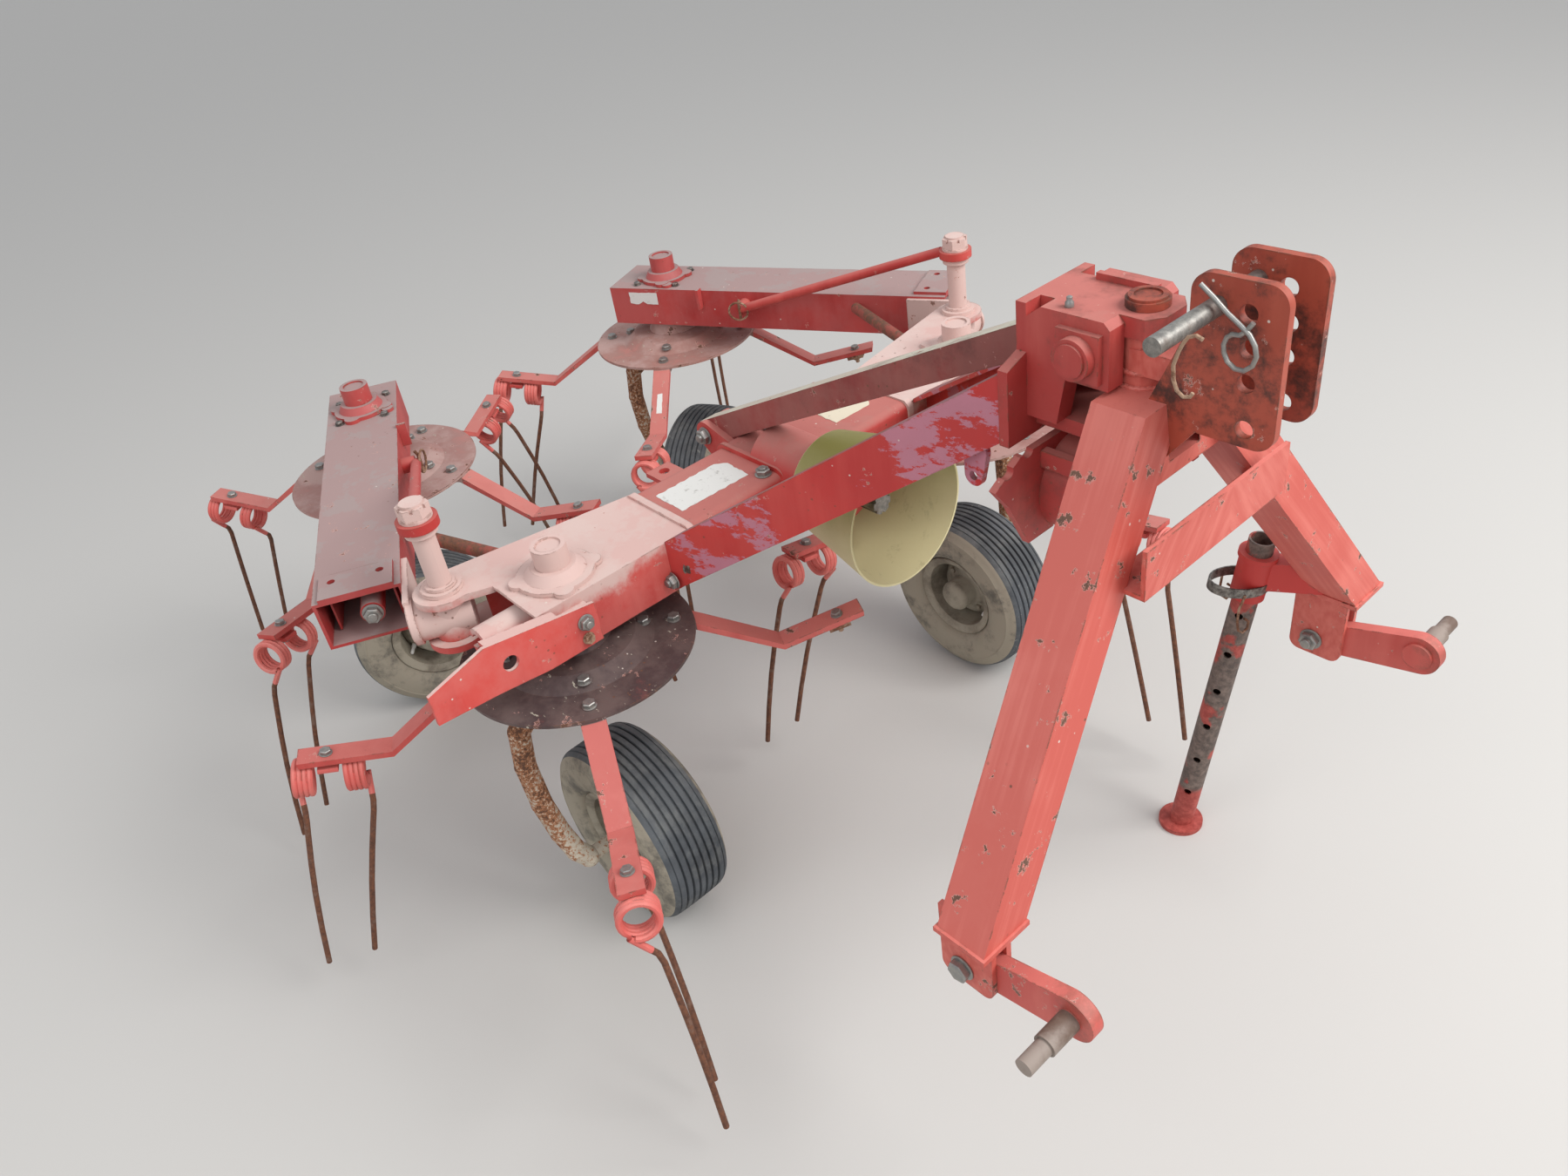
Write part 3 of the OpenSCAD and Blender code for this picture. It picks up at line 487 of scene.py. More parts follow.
def chips_and_freckles(s, colour, fine, shift, rusty):
    """Adds chips with a pale border, rust freckles and pale specks. Also gives where the paint is gone."""
    chipping = s.noise(30.0, 7, 0.7, shift=shift + 2)
    rims = s.times(s.edge(), s.step(chipping, 0.50, 0.56))
    limit = 0.70 - 0.09 * rusty
    border = s.step(chipping, limit - 0.018, limit - 0.010, 0.0, 0.7)
    colour = s.blend(border, colour, CHIP_BORDER)
    freckle = s.step(s.speckle(60.0, shift + 4), 0.15, 0.06)
    freckle = s.times(freckle, s.step(s.noise(6.0, 3, 0.5, shift=shift + 9), 0.53, 0.62))
    gone = s.most(s.most(rims, freckle), s.step(chipping, limit, limit + 0.008))
    gone = s.times(gone, min(1.0, rusty + 0.35), clamp=True)
    colour = s.blend(gone, colour, s.blend(fine, srgb(74, 54, 44), srgb(126, 84, 62)))
    speck = s.step(s.speckle(38.0, shift + 15), 0.075, 0.045)
    speck = s.times(speck, s.step(s.noise(4.0, 2, 0.5, shift=shift + 17), 0.50, 0.58))
    return s.blend(s.times(speck, 0.8), colour, PALE_SPECK), gone


def aged_paint(name, deep, faded, dust, dusty=0.4, rusty=0.35, shift=0.0, bloom=None, bloomy=0.0, dark=None,
               darkened=0.0, mottle=7.0, side_dust=None, grain=None, disc=None, bare_beyond=None):
    """Old paint, each layer with its colour and its amount from 0 to 1.

    The sun has faded it from deep, and chalky bloom lies on it in ragged patches. Over these come dust, dark
    stains of the size that mottle gives, chips, rust freckles and pale specks. Brush marks run along grain,
    mirrored from side to side. disc gives a rotor's axis and two colours of what has settled round it. Past
    bare_beyond from the machine's middle, in millimetres, the metal is bare.
    """
    s = Shader(name)
    broad = s.noise(3.2, 4, 0.55, shift=shift)
    patchy = s.noise(11.0, 6, 0.65, shift=shift + 3)
    fine = s.noise(90.0, 6, 0.7, shift=shift + 7)
    if grain is None:
        streak = s.noise(26.0, 4, 0.6, stretch=(1.0, 1.0, 0.12), shift=shift + 5)
    else:
        streak = s.brushed(grain, 120.0, 0.035)
    up = s.facing_up()

    fade = s.step(s.plus(broad, s.times(streak, 0.45)), 0.62, 0.88)
    fade = s.plus(fade, s.times(up, 0.35), clamp=True)
    colour = s.blend(fade, deep, faded)
    if bloom is not None:
        ragged = s.noise(6.5, 11, 0.74, stretch=(1.0, 1.0, 2.0), shift=shift + 13)
        edge = 0.62 - 0.12 * bloomy
        colour = s.blend(s.step(ragged, edge, edge + 0.02, 0.0, 0.8), colour, bloom)
    settled = settled_dust(s, up, patchy, fine, dusty, side_dust)
    colour = s.blend(settled, colour, dust)
    if dark is not None:
        stain = s.step(s.noise(mottle, 8, 0.72, shift=shift + 11), 0.56 - 0.12 * darkened, 0.66)
        colour = s.blend(s.times(stain, darkened, clamp=True), colour, dark)
    if disc is not None:
        colour = disc_dirt(s, colour, patchy, shift, *disc)
    colour, gone = chips_and_freckles(s, colour, fine, shift, rusty)
    if bare_beyond is not None:
        bare = s.step(s.from_middle(), bare_beyond * MM, (bare_beyond + 1.0) * MM)
        metal = s.blend(s.step(patchy, 0.40, 0.60), srgb(104, 84, 72), srgb(146, 132, 122))
        colour = s.blend(bare, colour, metal)

    roughness = s.plus(s.times(patchy, 0.25), 0.40)
    roughness = s.plus(roughness, s.times(settled, 0.35), clamp=True)
    relief = s.minus(s.times(fine, 0.25), s.times(gone, 0.6))
    relief = s.plus(relief, s.times(streak, 0.15))
    return s.finish(colour, roughness, relief, 0.45)


def pitted_rust(name, base, light, shift=0.0, light_amount=0.5):
    """Bare rusty steel with scale, lichen-pale blotches and pits."""
    s = Shader(name, metallic=0.15)
    blotch = s.noise(38.0, 8, 0.75, shift=shift)
    fine = s.noise(160.0, 6, 0.7, shift=shift + 3)
    broad = s.noise(5.0, 3, 0.5, shift=shift + 8)
    colour = s.blend(s.step(fine, 0.3, 0.75), base, srgb(132, 84, 58))
    pale = s.plus(blotch, s.times(broad, 0.25))
    pale = s.step(pale, 0.66 - 0.18 * light_amount, 0.78 - 0.12 * light_amount)
    colour = s.blend(s.times(pale, 0.85), colour, light)
    dark = s.step(blotch, 0.40, 0.30)
    colour = s.blend(s.times(dark, 0.7), colour, srgb(48, 34, 28))
    return s.finish(colour, 0.82, s.plus(blotch, s.times(fine, 0.5)), 0.7)


def worn_steel(name, base, shift=0.0, rust=0.35):
    """Dull zinc or steel, worn shiny here and rusty there."""
    s = Shader(name, metallic=0.7)
    fine = s.noise(120.0, 6, 0.7, shift=shift)
    patch = s.noise(28.0, 5, 0.6, shift=shift + 2)
    colour = s.blend(s.step(fine, 0.3, 0.8), base, srgb(168, 164, 156))
    rusty = s.times(s.step(patch, 0.50, 0.68), rust, clamp=True)
    colour = s.blend(rusty, colour, srgb(104, 70, 50))
    return s.finish(colour, s.plus(s.times(patch, 0.4), 0.25), fine, 0.25)


def worn_stand(name):
    """A brown-grey worn tube with patches of red paint left on it and a red foot."""
    s = Shader(name)
    fine = s.noise(90.0, 6, 0.7, shift=30)
    patch = s.noise(16.0, 5, 0.6, shift=34)
    paint = s.blend(s.step(fine, 0.35, 0.7), srgb(150, 58, 50), srgb(184, 86, 76))
    bare = s.blend(s.step(fine, 0.35, 0.7), srgb(84, 72, 66), srgb(130, 112, 102))
    foot = s.step(s.height(), 0.10, 0.085)
    kept = s.step(patch, 0.54, 0.60)
    colour = s.blend(s.most(foot, kept), bare, paint)
    return s.finish(colour, 0.6, fine, 0.4)


def speckled_tube(name):
    """Cream paint that dense orange-brown rust shows through, most of all higher up."""
    s = Shader(name)
    grit = s.noise(170.0, 7, 0.75)
    blotch = s.noise(22.0, 5, 0.65, shift=3)
    height = s.step(s.height(), 0.12, 0.30, -0.12, 0.05)
    amount = s.plus(s.plus(grit, s.times(blotch, 0.35)), height)
    colour = s.blend(s.step(blotch, 0.35, 0.65), srgb(176, 166, 150), srgb(204, 192, 172))
    colour = s.blend(s.step(amount, 0.62, 0.70), colour, srgb(156, 104, 70))
    colour = s.blend(s.step(amount, 0.74, 0.80), colour, srgb(92, 62, 46))
    return s.finish(colour, 0.85, grit, 0.6)


def tread_rubber(name):
    """Weathered tyre: slate grey where it rolls, with dust and pale dried dirt."""
    s = Shader(name)
    s.surface.inputs["Specular IOR Level"].default_value = 0.3
    patch = s.noise(9.0, 5)
    fine = s.noise(110.0, 7, 0.75, shift=2)
    up = s.facing_up(0.1, 0.9)
    colour = s.blend(s.step(patch, 0.35, 0.7), srgb(66, 69, 73), srgb(94, 98, 102))
    dusty = s.times(s.step(s.noise(20.0, 6, 0.7, shift=4), 0.45, 0.70), 0.45)
    dusty = s.plus(dusty, s.times(up, 0.20), clamp=True)
    colour = s.blend(dusty, colour, srgb(128, 129, 126))
    scuff = s.step(s.noise(75.0, 8, 0.8, shift=8), 0.60, 0.66)
    scuff = s.times(scuff, s.step(s.noise(7.0, 3, 0.5, shift=6), 0.48, 0.62))
    colour = s.blend(s.times(scuff, 0.75), colour, srgb(186, 186, 176))
    return s.finish(colour, s.plus(s.times(fine, 0.2), 0.68), fine, 0.5)


def dusty_wall(name):
    """The tyre's side wall, beige with dried mud over grey-black rubber."""
    s = Shader(name)
    patch = s.noise(14.0, 7, 0.7)
    fine = s.noise(120.0, 6, 0.7, shift=2)
    colour = s.blend(s.step(patch, 0.34, 0.54), srgb(104, 99, 90), srgb(156, 147, 130))
    green = s.step(s.noise(6.0, 4, shift=5), 0.58, 0.72)
    colour = s.blend(s.times(green, 0.15), colour, srgb(112, 116, 84))
    return s.finish(colour, 0.9, s.plus(patch, fine), 0.4)


def dusty_rim(name):
    """A pressed wheel disc under grey-beige dust, with grease stains and rust on its rims."""
    s = Shader(name)
    patch = s.noise(16.0, 6, 0.68)
    fine = s.noise(130.0, 6, 0.7, shift=2)
    colour = s.blend(s.step(patch, 0.35, 0.6), srgb(120, 111, 97), srgb(158, 150, 133))
    grease = s.step(s.noise(10.0, 5, shift=6), 0.58, 0.70)
    colour = s.blend(s.times(grease, 0.6), colour, srgb(72, 64, 54))
    worn = s.times(s.edge(0.003), s.step(s.noise(60.0, 5, 0.7, shift=9), 0.46, 0.56))
    colour = s.blend(worn, colour, srgb(104, 74, 52))
    return s.finish(colour, 0.85, s.plus(patch, s.times(fine, 0.6)), 0.4)


def plastic_with_rim_highlight(name):
    """Yellowed plastic: olive high up, cream lower down, grime in streaks, and a painted highlight along its
    thin rims.
    """
    s = Shader(name)
    s.surface.inputs["Specular IOR Level"].default_value = 0.4
    patch = s.noise(6.0, 5)
    fine = s.noise(70.0, 6, 0.7, shift=2)
    low = s.plus(s.height(), s.times(patch, 0.10))
    colour = s.blend(s.step(low, 0.66, 0.80), srgb(206, 196, 152), srgb(134, 128, 66))
    grime = s.step(s.noise(18.0, 7, 0.75, stretch=(1.0, 1.0, 0.5), shift=5), 0.55, 0.72)
    colour = s.blend(s.times(grime, 0.55), colour, srgb(120, 112, 74))
    # Painted highlight: a pale colour laid along the rims and corners, where light would catch them
    colour = s.blend(s.times(s.edge(0.003), 0.6), colour, srgb(222, 216, 170))
    return s.finish(colour, s.plus(s.times(patch, 0.25), 0.42), fine, 0.2)


def blank_label(name, ground):
    """Scuffed paper with nothing on it."""
    s = Shader(name)
    scuffed = s.step(s.noise(60.0, 8, 0.75), 0.55, 0.68)
    colour = s.blend(s.times(scuffed, 0.7), ground, srgb(150, 144, 136))
    return s.finish(colour, 0.55)


RED = srgb(176, 46, 42)
BRIGHT_RED = srgb(192, 50, 44)
FADED_RED = srgb(196, 74, 66)
FADED_BRIGHT_RED = srgb(206, 76, 68)
SALMON = srgb(194, 84, 72)
LIGHT_SALMON = srgb(210, 110, 97)
PINK = srgb(214, 136, 126)
LILAC = srgb(186, 130, 148)
CREAM = srgb(208, 188, 179)
GREY_PINK = srgb(160, 140, 136)
CRUST = srgb(58, 50, 50)
OLIVE_BROWN = srgb(96, 76, 60)
LITTER = srgb(176, 168, 150)
CHIP_BORDER = srgb(206, 158, 146)
PALE_SPECK = srgb(214, 204, 192)
# The way the headstock's legs run, on the left
LEG_GRAIN = (66, 359, -481)

red = aged_paint("red_paint", RED, FADED_RED, srgb(178, 118, 108), 0.45, 0.35)
headstock_paint = aged_paint(
    "headstock_paint", SALMON, LIGHT_SALMON, PINK, 0.35, 0.85, shift=2, grain=LEG_GRAIN)
link_paint = aged_paint(
    "link_paint", srgb(190, 72, 64), srgb(204, 96, 86), PINK, 0.45, 0.55, shift=3,
    dark=OLIVE_BROWN, darkened=0.45, bare_beyond=402.0)
bracket_paint = aged_paint(
    "bracket_paint", srgb(168, 54, 50), srgb(184, 78, 70), srgb(176, 118, 108), 0.7, 0.5, shift=5,
    dark=srgb(104, 62, 54), darkened=0.5, mottle=9.0)
bright = aged_paint("bright_paint", BRIGHT_RED, FADED_BRIGHT_RED, PINK, 0.25, 0.30, shift=4)
guard_paint = aged_paint("guard_bracket_paint", BRIGHT_RED, FADED_BRIGHT_RED, CREAM, 0.95, 0.30, shift=18)
web_paint = aged_paint(
    "web_paint", srgb(186, 44, 42), srgb(198, 66, 60), srgb(112, 90, 84), 0.85, 0.35, shift=6,
    bloom=LILAC, bloomy=0.8)
near_beam = aged_paint(
    "cream_beam_paint", srgb(188, 54, 48), srgb(202, 84, 76), CREAM, 0.95, 0.30, shift=8,
    side_dust=(0.635, 0.675))
pale_paint = aged_paint(
    "pale_paint", srgb(188, 66, 58), srgb(202, 100, 92), CREAM, 0.95, 0.40, shift=9,
    side_dust=(0.575, 0.625))
strut_paint = aged_paint(
    "strut_paint", srgb(128, 52, 50), srgb(148, 66, 62), srgb(196, 192, 174), 1.0, 0.55, shift=10,
    dark=srgb(84, 50, 46), darkened=0.55)
far_beam = aged_paint(
    "grey_beam_paint", srgb(166, 42, 40), srgb(182, 66, 62), GREY_PINK, 1.12, 0.40, shift=12)
casing_paint = aged_paint(
    "casing_paint", srgb(184, 48, 44), srgb(196, 78, 72), srgb(176, 122, 112), 0.80, 0.40, shift=14)
arm_paint = aged_paint("arm_paint", srgb(198, 70, 64), srgb(216, 106, 98), PINK, 0.45, 0.40, shift=16)
stained = aged_paint(
    "stained_paint", srgb(152, 60, 42), srgb(168, 76, 56), srgb(130, 76, 62), 0.3, 0.6, shift=28,
    dark=srgb(58, 38, 32), darkened=0.95, mottle=19.0)
coil_paint = aged_paint("coil_paint", srgb(206, 92, 84), srgb(222, 124, 114), PINK, 0.35, 0.25, shift=36)
# Each rotor: how much dust lies on its arms, and what lies on its disc where it is thin and where it is thick
ROTOR_DIRT = {
    "a": (0.75, srgb(160, 122, 114), srgb(178, 150, 142)),
    "b": (0.45, CRUST, srgb(92, 80, 76)),
    "c": (0.75, srgb(150, 110, 102), srgb(172, 142, 134)),
    "d": (0.75, srgb(158, 118, 108), srgb(176, 146, 138)),
}
rotor_paint = {}
for number, (key, (dusty, thin, thick)) in enumerate(ROTOR_DIRT.items()):
    rotor_paint[key] = aged_paint(
        "rotor_paint_" + key, srgb(186, 66, 60), srgb(204, 98, 90), srgb(190, 130, 120), dusty, 0.75,
        shift=20 + number, disc=(shaft_place(key), thin, thick))
rusty = pitted_rust("pitted_rust", srgb(96, 66, 48), srgb(176, 146, 122), light_amount=0.6)
wire_rust = pitted_rust("wire_rust", srgb(86, 56, 44), srgb(126, 100, 86), shift=6, light_amount=0.1)
strut_rust = pitted_rust("stand_rust", srgb(98, 72, 60), srgb(158, 78, 68), shift=9, light_amount=0.55)
stand_paint = worn_stand("stand_paint")
speckled = speckled_tube("speckled_tube")
steel = worn_steel("worn_steel", srgb(118, 116, 112))
dark_steel = worn_steel("dark_steel", srgb(74, 68, 66), shift=7, rust=0.5)
galvanised = worn_steel("galvanised", srgb(140, 140, 138), shift=5, rust=0.25)
tread = tread_rubber("tread_rubber")
wall = dusty_wall("dusty_wall")
rim_paint = dusty_rim("dusty_rim")
olive = plastic_with_rim_highlight("olive_plastic")
label = blank_label("blank_label", srgb(216, 214, 208))
old_label = blank_label("old_label", srgb(218, 206, 182))

NODE_MATERIALS = {
    "centre_beam": near_beam, "gearbox": casing_paint, "pto_guard": olive, "drawbar_arms": web_paint,
    "spine_strut": strut_paint, "pivot_bracket": bracket_paint, "pivot_pin": stained,
    "hinge_pins": pale_paint, "guard_brackets": guard_paint, "lock_struts": strut_rust,
    "pto_shaft": steel, "headstock_frame": headstock_paint, "mast_plates": stained, "top_link_pin": steel,
    "lower_arms": link_paint, "centring_plate": bracket_paint, "stand_sleeve": bright, "stand": stand_paint,
    "outer_beam_right": far_beam, "outer_beam_left": far_beam, "float_joint_right": pale_paint,
    "float_joint_left": pale_paint, "tie_rod_right": red, "tie_rod_left": red,
}
for key in ROTORS:
    NODE_MATERIALS["rotor_" + key] = rotor_paint[key]
    NODE_MATERIALS["wheel_leg_" + key] = speckled


def dress_nodes():
    """Puts the materials on the CAD nodes that stay visible."""
    for name, material in NODE_MATERIALS.items():
        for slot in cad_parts[name].material_slots:
            slot.link = "OBJECT"
            slot.material = material


# Tines

ARM_RISE = math.atan2(ARM_END.y - ARM_BEND.y, ARM_END.x - ARM_BEND.x)
ARM_ALONG = Vector((math.cos(ARM_RISE), 0.0, math.sin(ARM_RISE)))
ARM_UP = Vector((-math.sin(ARM_RISE), 0.0, math.cos(ARM_RISE)))
ACROSS = Vector((0.0, 1.0, 0.0))
COIL_TURNS = 3.62
COIL_HALF = 13.2
STEPS_A_TURN = 22
SEAT_GAP = 0.3
# How many of a tine's last points have no paint, and how much thinner its wire is there
PLAIN_POINTS = 8
PLAIN_WIRE = 0.96
# The disc's bolts along an arm. Inside HUB_SLOPE_R the disc rises to its hub, by so much a millimetre
DISC_BOLTS = (104.0, 150.0)
HUB_SLOPE_R = 118.0
HUB_SLOPE = 16.0 / 26


def arm_top(r):
    """Height of an arm's top face at radius r, past its bend."""
    return ARM_BEND.y + (r - ARM_BEND.x) * math.tan(ARM_RISE)


def coil_middle(s):
    """Middle of a tine's outer coil (s = 1), its inner one (-1) or the place between them (0)."""
    bolt = Vector((TINE_BOLT_R, 0.0, arm_top(TINE_BOLT_R)))
    drop = ARM_T + SEAT_GAP + COIL_R + WIRE_R
    return bolt + ARM_ALONG * s * COIL_OFFSET - ARM_UP * drop


def tine_wire(s, sweep):
    """One of a tine's two halves: from the clamp over the coil's turns and down to the tip."""
    middle = coil_middle(s)
    points = [
        middle + ARM_UP * COIL_R - ARM_ALONG * s * (COIL_OFFSET - 1.0),
        middle + ARM_UP * COIL_R - ARM_ALONG * s * (COIL_HALF + 5.0),
    ]
    steps = int(COIL_TURNS * STEPS_A_TURN)
    for i in range(steps + 1):
        t = i / steps
        # The turns run over the top and away from the side that the wire leaves on
        angle = math.pi / 2 - sweep * 2 * math.pi * COIL_TURNS * t
        offset = s * (2 * t - 1) * COIL_HALF
        spoke = math.cos(angle) * ACROSS + math.sin(angle) * ARM_UP
        points.append(middle + ARM_ALONG * offset + COIL_R * spoke)
    last = points[-1]
    kink = middle + Vector((s * 12.0 + 6.0, sweep * 14.0, -62.0))
    tip = Vector((middle.x + TINE_LEAN, sweep * TINE_SWEEP, TIP_Z))
    for t in (0.35, 0.7, 0.9):
        points.append(last.lerp(kink, t))
    for t in (0.04, 0.12, 0.3, 0.5, 0.75, 1.0):
        sag = Vector((4.0, sweep * 3.0, 0.0)) * math.sin(math.pi * t)
        points.append(kink.lerp(tip, t) + sag)
    return points


def add_tines():
    """Double-coil spring tines, their coils painted and their tips rusty."""
    rust, paint = 0, 1
    for key, rotor in ROTORS.items():
        piece = Piece("spring_tines_" + key, "reel_" + key, [wire_rust, coil_paint], "spring_steel")
        for index in rotor.fitted:
            piece.place = on_rotor_arm(key, index)
            for s in (-1, 1):
                points = tine_wire(s, rotor.sweep)
                painted = len(points) - PLAIN_POINTS
                piece.wire(points[:painted + 1], WIRE_R, material=paint)
                piece.wire(points[painted:], WIRE_R * PLAIN_WIRE, material=rust)
        piece.done(replaces=["tines_" + key])


def add_rotor_fasteners():
    """Bolts through disc and arms, and under each arm's end the tine's clamp or the rusty rest of one."""
    paint, rust = 1, 2
    for key, rotor in ROTORS.items():
        piece = Piece("rotor_fasteners_" + key, "reel_" + key, [galvanised, arm_paint, rusty], "bare_steel")
        for index in range(ARMS):
            piece.place = on_rotor_arm(key, index)
            for r in DISC_BOLTS:
                z = DISC_Z + HUB_SLOPE * max(0.0, HUB_SLOPE_R - r)
                piece.bolt((r, 0, z), (0, 0, 1), 10.5, hint=(1, 0.4 * index, 0))
                piece.bolt((r, 0, DISC_Z - 15.0), (0, 0, -1), 10.5, hint=(1, 0.2, 0))
            top = Vector((TINE_BOLT_R, 0.0, arm_top(TINE_BOLT_R)))
            piece.bolt(top, ARM_UP, 9.5, hint=(1, 0.5 - 0.3 * index, 0))
            if index in rotor.fitted:
                low = coil_middle(0) + ARM_UP * 14.0
                clamp = [(-15, -15), (15, -15), (15, 15), (-15, 15)]
                piece.plate(axes(low, ARM_UP, (1, 0, 0)), clamp, 8.0, paint)
                piece.bolt(low, -ARM_UP, 8.5, hint=(1, 0.1, 0))
            else:
                low = top - Vector((0.0, 0.0, ARM_T + SEAT_GAP)) - ARM_UP * 9.0
                rest = [(-19, -14), (17, -16), (20, 13), (-16, 15)]
                piece.plate(axes(low, ARM_UP, (1, 0, 0)), rest, 9.0, rust)
                piece.bolt(low, -ARM_UP, 9.0, rust, hint=(1, 0.1, 0), shank=7)
        piece.done()


# Wheels

# Outlines of (distance from the axle, place along it from the tyre's middle)
SIDE_WALL = [
    (74.3, -43), (78.5, -44.8), (84.5, -47.6), (88, -50.2), (89.6, -54), (93, -57.8), (101, -62),
    (109, -64.2), (118, -64.9), (131, -64.5), (138, -63.6), (139, -64.4), (141.5, -64), (142.5, -62.6),
    (151, -58.8), (157.5, -54), (161.2, -49), (162.4, -46.2), (160.9, -45.3), (161.1, -44.5), (163.2, -43.6),
]
DISC_AND_BED = [
    (13.2, -47.5), (31.3, -47.5), (31.3, -24), (33, -21.8), (43, -18.5), (50, -16), (57, -12), (61, -6.5),
    (64, -2), (68, 3), (70.2, 6), (70.2, -46), (73, -48.5), (80, -51), (84, -53.5), (86, -53), (86.6, -50.5),
    (85, -48.5), (78, -45.5), (74.2, -42.5), (73.8, -30), (73.8, 30), (74.2, 42.5), (78, 45.5), (85, 48.5),
    (86.6, 50.5), (86, 53), (84, 53.5), (80, 51), (73, 48.5), (70.2, 46), (70.2, 12), (66, 8), (62, 4),
    (53, -6), (29.3, -11), (29.3, 46), (27.5, 47.3), (13.2, 47.3),
]
HUB_CAP = [(31.3, -47.5), (31.3, -50), (30.3, -53.8), (27.5, -57.6), (22, -60.6), (14, -62), (5, -62.3)]
VALVE = [(5, -3), (5, 6), (3.8, 8), (3.8, 24), (3.0, 26)]
GROOVES = (-32.5, -19.5, -6.5, 6.5, 19.5, 32.5)
GROOVE_DEPTH = 5.0
TREAD_FROM_R = 154.0
TYRE_STEPS = 112
RIM_BOLTS = 4
RIM_BOLT_CIRCLE = 45.0


def tyre_outline():
    """The tyre from one bead over the grooved, slightly crowned tread to the other."""
    crown = []
    for y in GROOVES:
        crest = TYRE_R - 0.1 - 0.0006 * y * y
        crown += [
            (crest - 0.3, y - 2.7), (crest - 1.1, y - 2.0), (crest - GROOVE_DEPTH, y - 1.4),
            (crest - GROOVE_DEPTH, y + 1.4), (crest - 1.1, y + 2.0), (crest - 0.3, y + 2.7),
        ]
    return SIDE_WALL + crown + [(r, -y) for r, y in reversed(SIDE_WALL)]


def add_wheels():
    """Grooved tyres, and rims with their hub cap, bolts and valve."""
    profile = tyre_outline()
    for key in ROTORS:
        body = "wheel_" + key
        middle = axes((AXLE_X, -TYRE_IN, AXLE_Z), (0, 1, 0))
        tyre = Piece("tyre_tread_" + key, body, [wall, tread], "tyre", at_wheel(key))
        tyre.turn(middle, profile, TYRE_STEPS)
        for n, face in enumerate(tyre.mesh.faces):
            row = n // TYRE_STEPS
            if min(profile[row][0], profile[(row + 1) % len(profile)][0]) > TREAD_FROM_R:
                face.material_index = 1
        tyre.done(replaces=["tyre_" + key])

        rim = Piece("wheel_rim_" + key, body, [rim_paint, label], "rim_paint", at_wheel(key))
        rim.turn(middle, DISC_AND_BED, 64)
        rim.knob(middle, HUB_CAP, 48)
        for turn in range(RIM_BOLTS):
            a = math.radians(45 + 360 / RIM_BOLTS * turn)
            x = AXLE_X + RIM_BOLT_CIRCLE * math.cos(a)
            z = AXLE_Z + RIM_BOLT_CIRCLE * math.sin(a)
            rim.bolt((x, -TYRE_IN - 17, z), (0, -1, 0), 6.5, hint=(math.cos(2 * a), 0, math.sin(2 * a)))
        valve = axes((AXLE_X + 52, -TYRE_IN - 12, AXLE_Z - 28), (0.25, -1, -0.1))
        rim.knob(valve, VALVE, 14, 1)
        rim.done(replaces=["rim_" + key])


# Small pieces on the frame

LABEL_T = 0.6
LABEL_EDGE = 0.2
# Outlines of the labels, seen from above, from outside and along the arm
NEAR_LABEL = [(-50, -214), (20, -216), (22, -84), (-34, -80), (-50, -96)]
FAR_LABEL = [(-43, 116), (17, 114), (18, 190), (2, 205), (-41, 202)]
OUTER_LABEL = [(-35, -13), (34, -13), (34, 12), (14, 14), (2, 7), (-8, 13), (-35, 13)]
ROTOR_LABEL = [(-24, -5), (24, -6), (24, 6), (-22, 6)]

# Points along the top link pin's clip, and the hooked wire that hangs from the pin
CLIP = [
    (767, -62, 1174.5), (782, -62, 1164), (797, -62, 1152), (811, -62, 1143), (822, -63, 1136),
    (829, -64, 1127), (832, -65, 1117), (829, -65, 1107), (821, -65, 1100), (811, -64, 1099),
    (802, -63, 1104), (797, -62, 1112), (796, -62, 1120), (799, -62, 1128), (804, -62, 1132),
    (812, -62, 1133), (818, -61, 1139), (823, -60, 1147),
]
HOOKED_WIRE = [
    (813, -128, 1155), (806, -128, 1157.5), (798, -128, 1154), (793, -128, 1146), (789, -128, 1137),
    (784, -127, 1122), (784, -125, 1106), (787, -123, 1095), (793, -121, 1089), (799, -119, 1090),
    (801, -118, 1094),
]
# The stand's sleeve: a point on its axis, the axis, and the way its strap stands out
SLEEVE_FOOT = (597, 279, 0)
SLEEVE_LEAN = (0.1089, 0.0654, 0.9919)
STRAP_OUT = (-0.594, -0.804, 0)
STRAP_HEIGHTS = (556.0, 572.0)
STRAP_T = 2.4


def ragged(outline, amount, every=6.0):
    """An outline whose sides wander a little, as a torn label's do. The wander repeats from run to run."""
    points = []
    for i, start in enumerate(outline):
        a = Vector(start)
        b = Vector(outline[(i + 1) % len(outline)])
        count = max(1, int((b - a).length / every))
        normal = Vector((-(b - a).y, (b - a).x)).normalized()
        points.append(a)
        for k in range(1, count):
            p = a.lerp(b, k / count)
            wander = math.sin(1.9 * p.x + 0.7 * p.y) + 0.7 * math.sin(0.37 * p.x - 1.3 * p.y + i)
            points.append(p + normal * amount * wander)
    return points


def add_label(name, body, paper, place, local, outline, amount):
    piece = Piece(name, body, [paper], "dusty_paint", place)
    piece.plate(local, ragged(outline, amount), LABEL_T, edge=LABEL_EDGE)
    piece.done()


